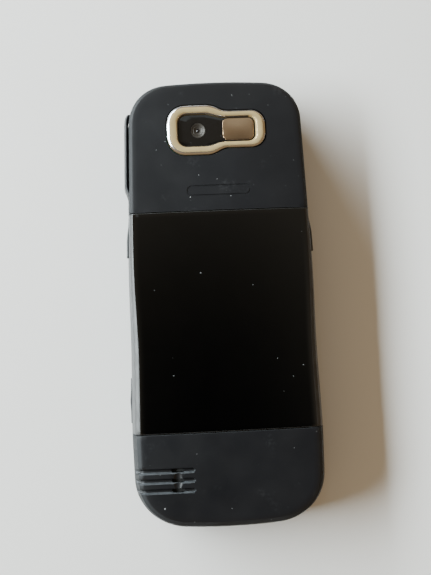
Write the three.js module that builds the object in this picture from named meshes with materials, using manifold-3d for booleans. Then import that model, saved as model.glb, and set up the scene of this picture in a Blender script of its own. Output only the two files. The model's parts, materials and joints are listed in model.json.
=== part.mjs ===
// A slim candybar mobile phone with a camera, built as an assembly of its separate pieces.
// Millimetres, +Z up. The phone lies face down: its front face is at z = 0 and its back looks up.
// +Y runs to the camera end, +X to the user's left as they hold the phone, seen from its front.

import * as THREE from 'three';
import { mergeVertices } from 'three/addons/utils/BufferGeometryUtils.js';
import Module from 'manifold-3d';

const wasm = await Module();
wasm.setup();

// ---------------------------------------------------------------- driving dimensions

const LENGTH = 109.4;
const BACK_Z = 14.0;            // height of the back plane over the front face
const WIDEST_Z = 5.0;           // height at which the casing is widest
const HALF_LENGTH = LENGTH / 2;

// Half width of the casing at its widest height, from the bottom corners to the top corners: [x, y].
const SIDE_STATIONS = [[23.45, -42], [23.6, -31], [23.1, -10], [23.05, 7], [22.5, 22.3], [21.8, 44.5]];
const BOTTOM_CORNER = 12.3;
const TOP_CORNER = 9.8;
const END_CROWN = 0.4;          // the ends bow outward by this much between their corners
const OUTLINE_POINTS = 52;
const BEND = 0.5523;            // handle length of a Bezier quarter circle

const SIDE_TOP_Z = 12.75;       // the bowed side ends here and the shoulder begins
const CREASE_Z = 13.66;         // the crease between the shoulder and the back face
const SHOULDER = 0.95;          // width of the shoulder in plan
const CREASE_TOP = { y: 30, inset: 1.45 };      // inset of the crease from the outline, camera end
const CREASE_BOTTOM = { y: -25, inset: 2.45 };
const FRONT_SHOULDER = 1.8;
const FRONT_STEPS = 3;

const WALL = 1.2;               // wall of the moulded covers
const FRAME_WALL = 1.6;         // wall of the chassis
const SEAM = 0.2;               // joint line between two covers
const GAP = 0.3;                // running gap around keys and internal pieces

const FRONT_SEAM_Z = 4.75;      // front cover to chassis
const COVER_SEAM_Z = 8.1;       // chassis to the fixed rear covers
const RAIL_TOP_Z = 12.6;        // chassis rails beside the battery cover
const TOP_SEAM_Y = 22.1;        // rear top cover to battery cover
const BOTTOM_SEAM_Y = -31.05;   // battery cover to rear bottom cover

const BEZEL_Y = 41.95;
const BEZEL_TOP_Z = 14.3;
const BEZEL_CURVE = 5;          // segments in each curve of the bezel
// Keyhole outlines: reach to each end, half height of the big and small lobes, their corners and neck.
const BEZEL_RIM = { left: 11.9, right: 12.1, big: 6.1, small: 4.55, bigCorner: 4.5, smallCorner: 3.3, neck: 0.6 };
const BEZEL_MOUTH = { left: 9.1, right: 9.75, big: 3.9, small: 2.95, bigCorner: 2.1, smallCorner: 1.65, neck: -0.2 };
const NECK_LENGTH = 3.6;
const LENS_X = -4.3;
const MIRROR = { x: 5.55, width: 7.9, height: 5.5, corner: 1.0 };

const GROOVE = { count: 3, firstY: -39.7, pitch: 2.34, width: 1.1, end: -8.4, depth: 0.7 };
const GROOVE_HOLE = { left: -14.2, right: -11.2 };
const SPEAKER_X = -11;
const SPEAKER_Y = -42.2;

const VOLUME = { low: 26.0, high: 47.3, bottom: 6.0, top: 11.4, proud: 0.8 };
const VOLUME_PIVOT = { x: -20.65, radius: 0.5 };
const CAMERA_KEY = { low: -28.7, high: -17.7, bottom: 5.6, top: 7.6, proud: 0.45 };
const RELEASE = { low: 11.8, high: 21.2, bottom: 7.8, top: 9.8, proud: 0.4 };
const POWER = { halfWidth: 4.0, bottom: 5.7, top: 7.7 };
const SIDE_KEY_DEPTH = 1.0;     // how far a side key reaches into the wall
const SIDE_KEY_POCKET = 2.1;    // how far its pocket reaches, with room for its travel

const WINDOW = { y: 22.6, width: 36.0, height: 44.6, corner: 1.6, front: 0.15, back: 1.05 };
const KEY_FRONT = 0.2;          // key caps stay just inside the front face
const KEY_BACK = 1.35;
const PLUNGER_BACK = 1.8;
const MAT_FRONT = 2.25;
const MAT_BACK = 2.85;
const KEYPAD = { top: -21.6, rowPitch: 7.0, columnPitch: 13.4, width: 12.4, height: 5.6, corner: 1.6 };
const FUNCTION_KEY = { x: 14.2, softY: -4.6, callY: -12.9, width: 10.6, height: 6.6, corner: 1.8 };
const NAVIGATION = { y: -8.8, width: 14.6, height: 14.6, corner: 4.0, hole: 7.6 };
const SELECT_SIZE = 6.8;
const SELECT_CORNER = 2.0;

const BOARD_BACK = 4.4;
const BOARD_FRONT = 3.6;
const BATTERY = { y: -3.7, width: 34.0, length: 49.0, front: 7.5, back: 12.5 };
const SCREWS = [[18.1, 36], [-18.1, 36], [11, -49.6], [-11, -49.6]];
const BOSS_RADIUS = 1.5;

// ---------------------------------------------------------------- materials

const material = (colour, roughness, metalness = 0) =>
  new THREE.MeshStandardMaterial({ color: colour, roughness, metalness });

const MATERIALS = {
  soft: material(0x33373a, 0.6),
  gloss: material(0x060607, 0.08),
  sideBand: material(0x3b3d3f, 0.5),
  champagne: material(0xb9a785, 0.3, 0.8),
  mirror: material(0x756048, 0.1, 1),
  glass: material(0x121212, 0.05),
  key: material(0x202224, 0.45),
  legendKey: material(0x2a2c2f, 0.4),
  rubber: material(0x8c8f94, 0.8),
  board: material(0x1d4a33, 0.5),
  steel: material(0xb9bcbf, 0.35, 0.9),
  gold: material(0xc9a24a, 0.3, 1),
  battery: material(0x6f7378, 0.5),
  black: material(0x151515, 0.6),
  card: material(0xd7d2c4, 0.5),
  fabric: material(0x101010, 0.9),
};

// ---------------------------------------------------------------- solid helpers

function solid(geometry) {
  const plain = geometry.clone();
  plain.deleteAttribute('normal');
  plain.deleteAttribute('uv');
  const merged = mergeVertices(plain, 1e-4);
  const vertProperties = new Float32Array(merged.attributes.position.array);
  const triVerts = new Uint32Array(merged.index.array);
  return new wasm.Manifold(new wasm.Mesh({ numProp: 3, vertProperties, triVerts }));
}

function geometryOf(manifold) {
  const mesh = manifold.getMesh();
  const geometry = new THREE.BufferGeometry();
  geometry.setAttribute('position', new THREE.BufferAttribute(mesh.vertProperties, 3));
  geometry.setIndex(new THREE.BufferAttribute(mesh.triVerts, 1));
  return geometry;
}

function cutAll(body, cutters) {
  return cutters.reduce((rest, cutter) => rest.subtract(cutter), body);
}

// A straight prism of a flat shape between two heights.
function prism(shape, low, high, curveSegments = 2) {
  const options = { depth: high - low, bevelEnabled: false, curveSegments };
  return new THREE.ExtrudeGeometry(shape, options).translate(0, 0, low);
}

// A prism with its edges broken, for key caps and trim.
function roundedPrism(shape, low, high, round, curveSegments = 2) {
  const options = {
    depth: high - low - 2 * round,
    bevelThickness: round,
    bevelSize: round,
    bevelOffset: -round,
    bevelSegments: 1,
    curveSegments,
  };
  return new THREE.ExtrudeGeometry(shape, options).translate(0, 0, low + round);
}

function roundedRectangle(width, height, corner, x = 0, y = 0) {
  const right = x + width / 2;
  const left = x - width / 2;
  const top = y + height / 2;
  const bottom = y - height / 2;
  const shape = new THREE.Shape();
  shape.absarc(right - corner, top - corner, corner, 0, Math.PI / 2);
  shape.absarc(left + corner, top - corner, corner, Math.PI / 2, Math.PI);
  shape.absarc(left + corner, bottom + corner, corner, Math.PI, 1.5 * Math.PI);
  shape.absarc(right - corner, bottom + corner, corner, 1.5 * Math.PI, 2 * Math.PI);
  return shape;
}

function disc(radius, x = 0, y = 0) {
  const shape = new THREE.Shape();
  shape.absarc(x, y, radius, 0, 2 * Math.PI);
  return shape;
}

// A block given by its two opposite corners.
function block(low, high) {
  const [width, depth, height] = high.map((value, axis) => value - low[axis]);
  const middle = high.map((value, axis) => (value + low[axis]) / 2);
  return new THREE.BoxGeometry(width, depth, height).translate(...middle);
}

// ---------------------------------------------------------------- the casing's form

// Plan outline at the widest height, counter-clockwise from the middle of the bottom end.
function casingOutline() {
  const [sideX, sideLowY] = SIDE_STATIONS[0];
  const [topX, topY] = SIDE_STATIONS[SIDE_STATIONS.length - 1];
  const bottomEdge = sideX - BOTTOM_CORNER;
  const topEdge = topX - TOP_CORNER;
  const lowY = -HALF_LENGTH + END_CROWN;
  const highY = HALF_LENGTH - END_CROWN;
  const reach = (from, to) => from + BEND * (to - from);
  const bottomRight = (sign) => [
    [sign * reach(bottomEdge, sideX), lowY + END_CROWN],
    [sign * sideX, reach(sideLowY, lowY)],
  ];
  const topRight = (sign) => [
    [sign * (topX - 0.25), reach(topY, highY)],
    [sign * reach(topEdge, topX), highY - END_CROWN],
  ];
  const stations = (sign) => SIDE_STATIONS.map(([x, y]) => new THREE.Vector2(sign * x, y));

  const path = new THREE.Path();
  path.moveTo(0, -HALF_LENGTH);
  path.quadraticCurveTo(bottomEdge / 2, -HALF_LENGTH, bottomEdge, lowY);
  path.bezierCurveTo(...bottomRight(1)[0], ...bottomRight(1)[1], sideX, sideLowY);
  path.splineThru(stations(1).slice(1));
  path.bezierCurveTo(...topRight(1)[0], ...topRight(1)[1], topEdge, highY);
  path.quadraticCurveTo(topEdge / 2, HALF_LENGTH, 0, HALF_LENGTH);
  path.quadraticCurveTo(-topEdge / 2, HALF_LENGTH, -topEdge, highY);
  path.bezierCurveTo(...topRight(-1)[1], ...topRight(-1)[0], -topX, topY);
  path.splineThru(stations(-1).reverse().slice(1));
  path.bezierCurveTo(...bottomRight(-1)[1], ...bottomRight(-1)[0], -bottomEdge, lowY);
  path.quadraticCurveTo(-bottomEdge / 2, -HALF_LENGTH, 0, -HALF_LENGTH);
  const spaced = path.getSpacedPoints(OUTLINE_POINTS);
  spaced.pop();
  return spaced;
}

const OUTLINE = casingOutline();

const OUTLINE_NORMALS = OUTLINE.map((point, index) => {
  const before = OUTLINE[(index + OUTLINE.length - 1) % OUTLINE.length];
  const after = OUTLINE[(index + 1) % OUTLINE.length];
  const along = after.clone().sub(before).normalize();
  return new THREE.Vector2(along.y, -along.x);
});

// The outline moved inward; a negative inset moves it outward.
function insetOutline(insetAt) {
  return OUTLINE.map((point, index) => {
    const normal = OUTLINE_NORMALS[index];
    return point.clone().addScaledVector(normal, -insetAt(point.y));
  });
}

// How far the crease round the back face lies inside the outline.
function creaseInset(y) {
  const share = THREE.MathUtils.smoothstep(y, CREASE_BOTTOM.y, CREASE_TOP.y);
  return THREE.MathUtils.lerp(CREASE_BOTTOM.inset, CREASE_TOP.inset, share);
}

// Heights and insets from the widest height up the bowed side, over the shoulder and onto the crowned back face.
const BACK_RINGS = [
  { z: WIDEST_Z, insetAt: () => 0 },
  { z: 9.0, insetAt: (y) => 0.27 * (creaseInset(y) - SHOULDER) },
  { z: SIDE_TOP_Z, insetAt: (y) => creaseInset(y) - SHOULDER },
  { z: 13.28, insetAt: (y) => creaseInset(y) - 0.5 * SHOULDER },
  { z: CREASE_Z, insetAt: creaseInset },
  { z: 13.8, insetAt: (y) => creaseInset(y) + 1.5 },
  { z: BACK_Z, insetAt: (y) => creaseInset(y) + 6.5 },
];

// A closed body through a stack of rings, each ring a list of points at one height.
function loft(rings) {
  const count = rings[0].points.length;
  const positions = [];
  const indices = [];
  for (const ring of rings) {
    for (const point of ring.points) {
      positions.push(point.x, point.y, ring.z);
    }
  }
  for (let level = 0; level + 1 < rings.length; level++) {
    for (let i = 0; i < count; i++) {
      const a = level * count + i;
      const b = level * count + (i + 1) % count;
      indices.push(a, b, b + count, a, b + count, a + count);
    }
  }
  const last = (rings.length - 1) * count;
  for (const [i, j, k] of THREE.ShapeUtils.triangulateShape(rings[0].points, [])) {
    indices.push(k, j, i);
  }
  for (const [i, j, k] of THREE.ShapeUtils.triangulateShape(rings[rings.length - 1].points, [])) {
    indices.push(last + i, last + j, last + k);
  }
  const geometry = new THREE.BufferGeometry();
  geometry.setAttribute('position', new THREE.Float32BufferAttribute(positions, 3));
  geometry.setIndex(indices);
  return geometry;
}

// The whole outer form of the phone, made smaller all round by a wall and at the front and back by a lid.
// A negative wall grows it sideways, for the side keys that stand proud.
function casingForm(wall, lid = Math.max(wall, 0)) {
  const rings = [];
  for (let step = FRONT_STEPS; step > 0; step--) {
    const angle = (step / FRONT_STEPS) * Math.PI / 2;
    const inset = FRONT_SHOULDER * (1 - Math.cos(angle)) + wall;
    rings.push({ z: WIDEST_Z - (WIDEST_Z - lid) * Math.sin(angle), points: insetOutline(() => inset) });
  }
  const squeeze = (BACK_Z - lid - WIDEST_Z) / (BACK_Z - WIDEST_Z);
  for (const ring of BACK_RINGS) {
    const z = WIDEST_Z + (ring.z - WIDEST_Z) * squeeze;
    rings.push({ z, points: insetOutline((y) => ring.insetAt(y) + wall) });
  }
  return solid(loft(rings));
}

const OUTER = casingForm(0);
const INNER = casingForm(WALL);
const FRAME_INNER = casingForm(FRAME_WALL);
const FRAME_BORE = casingForm(FRAME_WALL, 0);
const FAR = 80;

// The part of a form between two heights and two places along the length.
function zone(form, lowZ, highZ, lowY = -FAR, highY = FAR) {
  return form.intersect(solid(block([-FAR, lowY, lowZ], [FAR, highY, highZ])));
}

// A piece of the casing's own skin on one side, standing proud by a little, for a side key.
function sideKey(key, side) {
  const reach = side < 0 ? [-FAR, -15] : [15, FAR];
  const space = solid(block([reach[0], key.low, key.bottom], [reach[1], key.high, key.top]));
  return casingForm(-key.proud).intersect(space).subtract(casingForm(SIDE_KEY_DEPTH));
}

// The volume rocker has a round pivot rib down the middle of its inner face, and its lower end tapers.
function volumeRocker() {
  const middle = (VOLUME.low + VOLUME.high) / 2;
  const height = VOLUME.top - VOLUME.bottom - 2;
  const rib = new THREE.CylinderGeometry(VOLUME_PIVOT.radius, VOLUME_PIVOT.radius, height, 20).rotateX(Math.PI / 2);
  rib.translate(VOLUME_PIVOT.x, middle, (VOLUME.top + VOLUME.bottom) / 2);
  const wedge = new THREE.Shape();
  wedge.moveTo(-23.6, VOLUME.low - 1);
  wedge.lineTo(-22.2, VOLUME.low - 1);
  wedge.lineTo(-23.6, VOLUME.low + 4);
  wedge.closePath();
  return geometryOf(sideKey(VOLUME, -1).subtract(solid(prism(wedge, 0, 14))).add(solid(rib)));
}

// The pocket that a side key moves in, cut through the wall behind it.
function sidePocket(key, side) {
  const reach = side < 0 ? [-FAR, -15] : [15, FAR];
  const low = [reach[0], key.low - GAP, key.bottom - GAP];
  const high = [reach[1], key.high + GAP, key.top + GAP];
  return solid(block(low, high)).subtract(casingForm(SIDE_KEY_POCKET));
}

// ---------------------------------------------------------------- the front

const KEY_NAMES = ['1', '2', '3', '4', '5', '6', '7', '8', '9', 'star', '0', 'hash'];

// Every plain key of the front: its name, middle, size and corner radius.
function frontKeys() {
  const keys = KEY_NAMES.map((label, index) => {
    const column = index % 3;
    const row = Math.floor(index / 3);
    return {
      name: `key_${label}`,
      x: (1 - column) * KEYPAD.columnPitch,
      y: KEYPAD.top - row * KEYPAD.rowPitch,
      width: KEYPAD.width,
      height: KEYPAD.height,
      corner: KEYPAD.corner,
    };
  });
  const functionKey = (name, side, y) => ({
    name,
    x: side * FUNCTION_KEY.x,
    y,
    width: FUNCTION_KEY.width,
    height: FUNCTION_KEY.height,
    corner: FUNCTION_KEY.corner,
  });
  keys.push(functionKey('soft_key_left', 1, FUNCTION_KEY.softY));
  keys.push(functionKey('soft_key_right', -1, FUNCTION_KEY.softY));
  keys.push(functionKey('call_key', 1, FUNCTION_KEY.callY));
  keys.push(functionKey('end_key', -1, FUNCTION_KEY.callY));
  return keys;
}

const FRONT_KEYS = frontKeys();
const EARPIECE_SLOT = { y: 49.0, width: 9.0, height: 1.6 };
const MICROPHONE = { x: 0, y: -49.6, hole: 0.6 };

function frontCover() {
  const shell = zone(OUTER, 0, FRONT_SEAM_Z - SEAM / 2).subtract(INNER);
  const through = (shape) => solid(prism(shape, -1, WALL + 1));
  const cutters = FRONT_KEYS.map((key) =>
    through(roundedRectangle(key.width + 2 * GAP, key.height + 2 * GAP, key.corner + GAP, key.x, key.y)));
  cutters.push(through(roundedRectangle(
    NAVIGATION.width + 2 * GAP, NAVIGATION.height + 2 * GAP, NAVIGATION.corner + GAP, 0, NAVIGATION.y)));
  cutters.push(through(roundedRectangle(
    WINDOW.width + GAP, WINDOW.height + GAP, WINDOW.corner + GAP / 2, 0, WINDOW.y)));
  cutters.push(through(roundedRectangle(
    EARPIECE_SLOT.width, EARPIECE_SLOT.height, EARPIECE_SLOT.height / 2 - 0.01, 0, EARPIECE_SLOT.y)));
  cutters.push(through(disc(MICROPHONE.hole, MICROPHONE.x, MICROPHONE.y)));
  const bosses = SCREWS.map(([x, y]) => solid(prism(disc(BOSS_RADIUS, x, y), WALL - 0.1, BOARD_FRONT - 0.1, 3)));
  const bores = SCREWS.map(([x, y]) => solid(prism(disc(1.0, x, y), WALL + 0.2, BOARD_FRONT, 3)));
  const bossed = bosses.reduce((body, boss) => body.add(boss.intersect(OUTER)), cutAll(shell, cutters));
  return geometryOf(cutAll(bossed, bores));
}

function keyCap(key) {
  const cap = solid(roundedPrism(
    roundedRectangle(key.width, key.height, key.corner), KEY_FRONT, KEY_BACK, 0.25));
  const plunger = solid(prism(roundedRectangle(4, 3, 0.6), KEY_BACK - 0.2, PLUNGER_BACK));
  return geometryOf(cap.add(plunger));
}

function navigationRing() {
  const outer = roundedRectangle(NAVIGATION.width, NAVIGATION.height, NAVIGATION.corner);
  const hole = roundedRectangle(NAVIGATION.hole, NAVIGATION.hole, SELECT_CORNER + 0.4);
  const ring = solid(roundedPrism(outer, KEY_FRONT, KEY_BACK, 0.3, 4));
  return geometryOf(ring.subtract(solid(prism(hole, -1, KEY_BACK + 1))));
}

// The pivot plate sits under the ring, open in the middle so that the select key moves freely through it.
function navigationPlate() {
  const outer = roundedRectangle(12, 12, 3);
  outer.holes.push(roundedRectangle(NAVIGATION.hole, NAVIGATION.hole, SELECT_CORNER));
  return prism(outer, KEY_BACK + 0.3, KEY_BACK + 0.6, 5);
}

function keypadMat() {
  const outline = roundedRectangle(39, 46, 5, 0, -24.4);
  return prism(outline, MAT_FRONT, MAT_BACK, 5);
}

function displayModule() {
  return roundedPrism(roundedRectangle(32.4, 44.5, 0.8, 0, 22.6), 1.25, 3.2, 0.3, 2);
}

// ---------------------------------------------------------------- the chassis and the rear covers

function chassis() {
  const band = zone(OUTER, FRONT_SEAM_Z + SEAM / 2, COVER_SEAM_Z - SEAM / 2).subtract(FRAME_INNER);
  const railLow = BOTTOM_SEAM_Y + SEAM / 2;
  const railHigh = TOP_SEAM_Y - SEAM / 2;
  const rails = zone(OUTER, WIDEST_Z, RAIL_TOP_Z, railLow, railHigh).subtract(FRAME_BORE);
  const web = zone(casingForm(FRAME_WALL - 0.3), 6.8, 7.2);
  const frame = band.add(rails).add(web);
  const hole = (shape) => solid(prism(shape, 6, 8));
  return geometryOf(cutAll(frame, [
    sidePocket(VOLUME, -1),
    sidePocket(CAMERA_KEY, -1),
    sidePocket(RELEASE, -1),
    sidePocket(RELEASE, 1),
    powerPocket(),
    hole(roundedRectangle(27, 17, 1, -1, 8)),
    hole(roundedRectangle(12.5, 16.5, 1, 8, -16)),
    hole(roundedRectangle(12, 12, 1, LENS_X, BEZEL_Y)),
    hole(roundedRectangle(12, 3.6, 0.5, 0, 25)),
    hole(roundedRectangle(12, 7, 0.5, 13, 30)),
    ...SCREWS.map(([x, y]) => hole(disc(1.0, x, y))),
    ...topSocketCuts(),
    dataSocketCut(),
  ]));
}

// A keyhole: a big lobe round the lens and a small one round the mirror, joined by a curved neck.
function keyhole(outline, grow = 0) {
  const left = -outline.left - grow;
  const right = outline.right + grow;
  const big = outline.big + grow;
  const small = outline.small + grow;
  const bigCorner = outline.bigCorner + grow;
  const smallCorner = outline.smallCorner + grow;
  const neckStart = outline.neck - NECK_LENGTH / 2;
  const neckEnd = outline.neck + NECK_LENGTH / 2;
  const shape = new THREE.Shape();
  shape.moveTo(neckEnd, -small);
  shape.lineTo(right - smallCorner, -small);
  shape.absarc(right - smallCorner, -small + smallCorner, smallCorner, -Math.PI / 2, 0);
  shape.absarc(right - smallCorner, small - smallCorner, smallCorner, 0, Math.PI / 2);
  shape.lineTo(neckEnd, small);
  shape.bezierCurveTo(outline.neck, small, outline.neck, big, neckStart, big);
  shape.lineTo(left + bigCorner, big);
  shape.absarc(left + bigCorner, big - bigCorner, bigCorner, Math.PI / 2, Math.PI);
  shape.absarc(left + bigCorner, -big + bigCorner, bigCorner, Math.PI, 1.5 * Math.PI);
  shape.lineTo(neckStart, -big);
  shape.bezierCurveTo(outline.neck, -big, outline.neck, -small, neckEnd, -small);
  return shape;
}

function rearTopCover() {
  const shell = zone(OUTER, COVER_SEAM_Z + SEAM / 2, BACK_Z + 1, TOP_SEAM_Y + SEAM / 2).subtract(INNER);
  const opening = prism(keyhole(BEZEL_RIM, SEAM), 10, BACK_Z + 1, BEZEL_CURVE).translate(0, BEZEL_Y, 0);
  return geometryOf(cutAll(shell, [solid(opening), sidePocket(VOLUME, -1), ...topSocketCuts()]));
}

function batteryCover() {
  const low = BOTTOM_SEAM_Y + SEAM / 2;
  const high = TOP_SEAM_Y - SEAM / 2;
  return geometryOf(zone(OUTER, RAIL_TOP_Z + SEAM, BACK_Z + 1, low, high));
}

function rearBottomCover() {
  const shell = zone(OUTER, COVER_SEAM_Z + SEAM / 2, BACK_Z + 1, -FAR, BOTTOM_SEAM_Y - SEAM / 2).subtract(INNER);
  const underGroove = casingForm(GROOVE.depth);
  const cutters = [];
  for (let i = 0; i < GROOVE.count; i++) {
    const y = GROOVE.firstY - i * GROOVE.pitch;
    const outerEnd = -30;
    const length = GROOVE.end - outerEnd;
    const slot = roundedRectangle(length, GROOVE.width, GROOVE.width / 2 - 0.01, outerEnd + length / 2, y);
    cutters.push(solid(prism(slot, 9.6, BACK_Z + 1)).subtract(underGroove));
    const holeWidth = GROOVE_HOLE.right - GROOVE_HOLE.left;
    const holeX = (GROOVE_HOLE.right + GROOVE_HOLE.left) / 2;
    const hole = roundedRectangle(holeWidth, GROOVE.width - 0.1, 0.4, holeX, y);
    cutters.push(solid(prism(hole, 10, BACK_Z + 1)));
  }
  return geometryOf(cutAll(shell, cutters));
}

// ---------------------------------------------------------------- camera end

function cameraBezel() {
  const outer = solid(roundedPrism(keyhole(BEZEL_RIM), 12.9, BEZEL_TOP_Z, 0.35, BEZEL_CURVE));
  return geometryOf(outer.subtract(solid(prism(keyhole(BEZEL_MOUTH), 12, 15, BEZEL_CURVE))));
}

function cameraWindow() {
  return prism(keyhole(BEZEL_MOUTH, -0.1), 13.0, 13.45, BEZEL_CURVE);
}

function portraitMirror() {
  return roundedPrism(roundedRectangle(MIRROR.width, MIRROR.height, MIRROR.corner), 0, 0.25, 0.1, 3);
}

function cameraModule() {
  const housing = solid(block([-4.2, -4.2, 5.3], [4.2, 4.2, 10.8]));
  const barrel = solid(prism(disc(3.1), 10.5, 12.2, 10));
  const seat = solid(prism(disc(2.2), 11.6, 13, 10));
  return geometryOf(housing.add(barrel).subtract(seat));
}

function cameraLens() {
  const radius = 1.95;
  const rise = 0.55;
  const profile = [new THREE.Vector2(0, 0), new THREE.Vector2(radius, 0), new THREE.Vector2(radius, 0.35)];
  for (let step = 1; step <= 4; step++) {
    const angle = (step / 4) * Math.PI / 2;
    profile.push(new THREE.Vector2(radius * Math.cos(angle), 0.35 + rise * Math.sin(angle)));
  }
  profile[profile.length - 1].x = 0;
  return new THREE.LatheGeometry(profile, 20).rotateX(Math.PI / 2);
}

// ---------------------------------------------------------------- top and bottom sockets

const HEADSET = { x: 10.3, z: 7.9, outer: 2.5, bore: 1.8, high: 53.0, low: 39.5 };
const CHARGER = { x: -10.3, z: 6.6, outer: 1.7, bore: 1.05, high: 53.7, low: 44.5 };
const DATA = { z: 5.85, width: 8.2, height: 2.3, wall: 0.3, low: -53.2, high: -47.6 };

// A tube along Y, closed at its inner end.
function socketTube(socket) {
  const length = socket.high - socket.low;
  const profile = [
    new THREE.Vector2(0, 0),
    new THREE.Vector2(socket.outer, 0),
    new THREE.Vector2(socket.outer, length),
    new THREE.Vector2(socket.bore, length),
    new THREE.Vector2(socket.bore, 0.8),
    new THREE.Vector2(0, 0.8),
  ];
  return new THREE.LatheGeometry(profile, 16);
}

// The round hole that a socket fills, from its inner end out through the casing.
function socketMouth(socket) {
  const radius = socket.outer + 0.2;
  const mouth = new THREE.CylinderGeometry(radius, radius, 40, 16);
  return solid(mouth.translate(socket.x, socket.low + 20, socket.z));
}

function topSocketCuts() {
  return [HEADSET, CHARGER].map((socket) => socketMouth(socket));
}

function dataSocketCut() {
  const half = DATA.width / 2 + GAP;
  const reach = DATA.height / 2 + GAP;
  return solid(block([-half, -60, DATA.z - reach], [half, DATA.high + GAP, DATA.z + reach]));
}

function dataSocket() {
  const half = DATA.width / 2;
  const reach = DATA.height / 2;
  const shell = solid(block([-half, DATA.low, DATA.z - reach], [half, DATA.high, DATA.z + reach]));
  const mouth = solid(block(
    [-half + DATA.wall, DATA.low - 1, DATA.z - reach + DATA.wall],
    [half - DATA.wall, DATA.high - 0.6, DATA.z + reach - DATA.wall]));
  const tongue = solid(block([-2.2, DATA.low + 1, DATA.z - 0.3], [2.2, DATA.high - 0.3, DATA.z + 0.3]));
  return geometryOf(shell.subtract(mouth).add(tongue));
}

function powerKey() {
  const low = [-POWER.halfWidth, 45, POWER.bottom];
  const high = [POWER.halfWidth, 60, POWER.top];
  return geometryOf(casingForm(0.1).intersect(solid(block(low, high))).subtract(casingForm(SIDE_KEY_DEPTH + 0.1)));
}

function powerPocket() {
  const low = [-POWER.halfWidth - GAP, 45, POWER.bottom - GAP];
  const high = [POWER.halfWidth + GAP, 60, POWER.top + GAP];
  return solid(block(low, high)).subtract(casingForm(SIDE_KEY_POCKET));
}

// ---------------------------------------------------------------- electronics

function mainBoard() {
  const points = insetOutline(() => 3.2);
  const board = solid(prism(new THREE.Shape(points), BOARD_FRONT, BOARD_BACK));
  return geometryOf(cutAll(board, SCREWS.map(([x, y]) => solid(prism(disc(1.2, x, y), 3, 5, 3)))));
}

function shieldCan(width, length) {
  const outer = solid(roundedPrism(roundedRectangle(width, length, 0.8), 0, 1.9, 0.2, 2));
  const hollow = solid(prism(roundedRectangle(width - 0.6, length - 0.6, 0.5), -1, 1.6, 2));
  return geometryOf(outer.subtract(hollow));
}

function batteryPack() {
  const width = BATTERY.width / 2;
  const length = BATTERY.length / 2;
  const pack = solid(roundedPrism(
    roundedRectangle(2 * width, 2 * length, 1.2), BATTERY.front, BATTERY.back, 0.5, 3));
  const contactPad = solid(block([-6, length - 0.3, 8.4], [6, length + 1, 10.2]));
  return geometryOf(pack.subtract(contactPad));
}

// A comb of sprung fingers on a plastic block.
function batteryContacts() {
  const base = solid(block([-5.6, 0, 0], [5.6, 2.4, 4]));
  const fingers = [-3.6, 0, 3.6].map((x) => solid(block([x - 0.6, -0.5, 2.2], [x + 0.6, 0.5, 3.2])));
  return geometryOf(fingers.reduce((body, finger) => body.add(finger), base));
}

function simHolder() {
  const frame = solid(block([-13, -8, 0], [13, 8, 1.7]));
  const well = solid(block([-11.6, -6.6, 0.6], [11.6, 6.6, 3]));
  return geometryOf(frame.subtract(well));
}

// A card with one corner cut off.
function cornerCutCard(width, length, cut, thickness) {
  const shape = new THREE.Shape();
  shape.moveTo(-width / 2, -length / 2);
  shape.lineTo(width / 2, -length / 2);
  shape.lineTo(width / 2, length / 2 - cut);
  shape.lineTo(width / 2 - cut, length / 2);
  shape.lineTo(-width / 2, length / 2);
  shape.closePath();
  return prism(shape, 0, thickness);
}

function loudspeaker() {
  const basket = solid(roundedPrism(roundedRectangle(14, 10, 2), 0, 3.3, 0.3, 3));
  const cone = solid(prism(roundedRectangle(11.6, 7.6, 1.4), 2.7, 4, 3));
  return geometryOf(basket.subtract(cone));
}

function speakerDustMesh() {
  return prism(roundedRectangle(12, 8, 1.5), 0, 0.4, 3);
}

function capsule(width, height, thickness) {
  return roundedPrism(roundedRectangle(width, height, height / 2 - 0.05), 0, thickness, 0.2, 3);
}

// Half a disc on a stub of shaft, so that it shakes as it spins.
// The off-centre weight with its round shaft, which ends just short of the motor.
function vibrationWeight() {
  const shape = new THREE.Shape();
  shape.absarc(0, 0, 1.9, Math.PI, 2 * Math.PI);
  shape.absarc(0, 0, 0.7, 0, Math.PI);
  const weight = solid(prism(shape, 0, 2.8, 8).rotateY(Math.PI / 2));
  const shaft = solid(new THREE.CylinderGeometry(0.4, 0.4, 3.2, 16).rotateZ(Math.PI / 2).translate(1.7, 0, 0));
  return geometryOf(weight.add(shaft));
}

function vibrationMotor() {
  return new THREE.CylinderGeometry(2.0, 2.0, 7, 18).rotateZ(Math.PI / 2);
}

// A stamped antenna strip folded back on itself.
function antenna() {
  const shape = new THREE.Shape();
  shape.moveTo(0, 0);
  shape.lineTo(17, 0);
  shape.lineTo(17, 11);
  shape.lineTo(0, 11);
  shape.lineTo(0, 7.2);
  shape.lineTo(13, 7.2);
  shape.lineTo(13, 3.8);
  shape.lineTo(0, 3.8);
  shape.closePath();
  return prism(shape, 0, 0.4);
}

// A pan-head screw with a six-sided socket.
function screw() {
  const head = new THREE.CylinderGeometry(1.2, 1.4, 0.9, 18).rotateX(Math.PI / 2).translate(0, 0, 0.45);
  const shank = new THREE.CylinderGeometry(0.7, 0.7, 5.0, 12).rotateX(Math.PI / 2).translate(0, 0, -2.4);
  const socket = new THREE.CylinderGeometry(0.7, 0.7, 1.2, 6).rotateX(Math.PI / 2).translate(0, 0, 1.0);
  return geometryOf(solid(head).add(solid(shank)).subtract(solid(socket)));
}

// ---------------------------------------------------------------- assembly

const group = new THREE.Group();

function add(name, geometry, finish, x = 0, y = 0, z = 0) {
  const mesh = new THREE.Mesh(geometry, finish.clone());
  mesh.name = name;
  mesh.position.set(x, y, z);
  group.add(mesh);
  return mesh;
}

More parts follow.
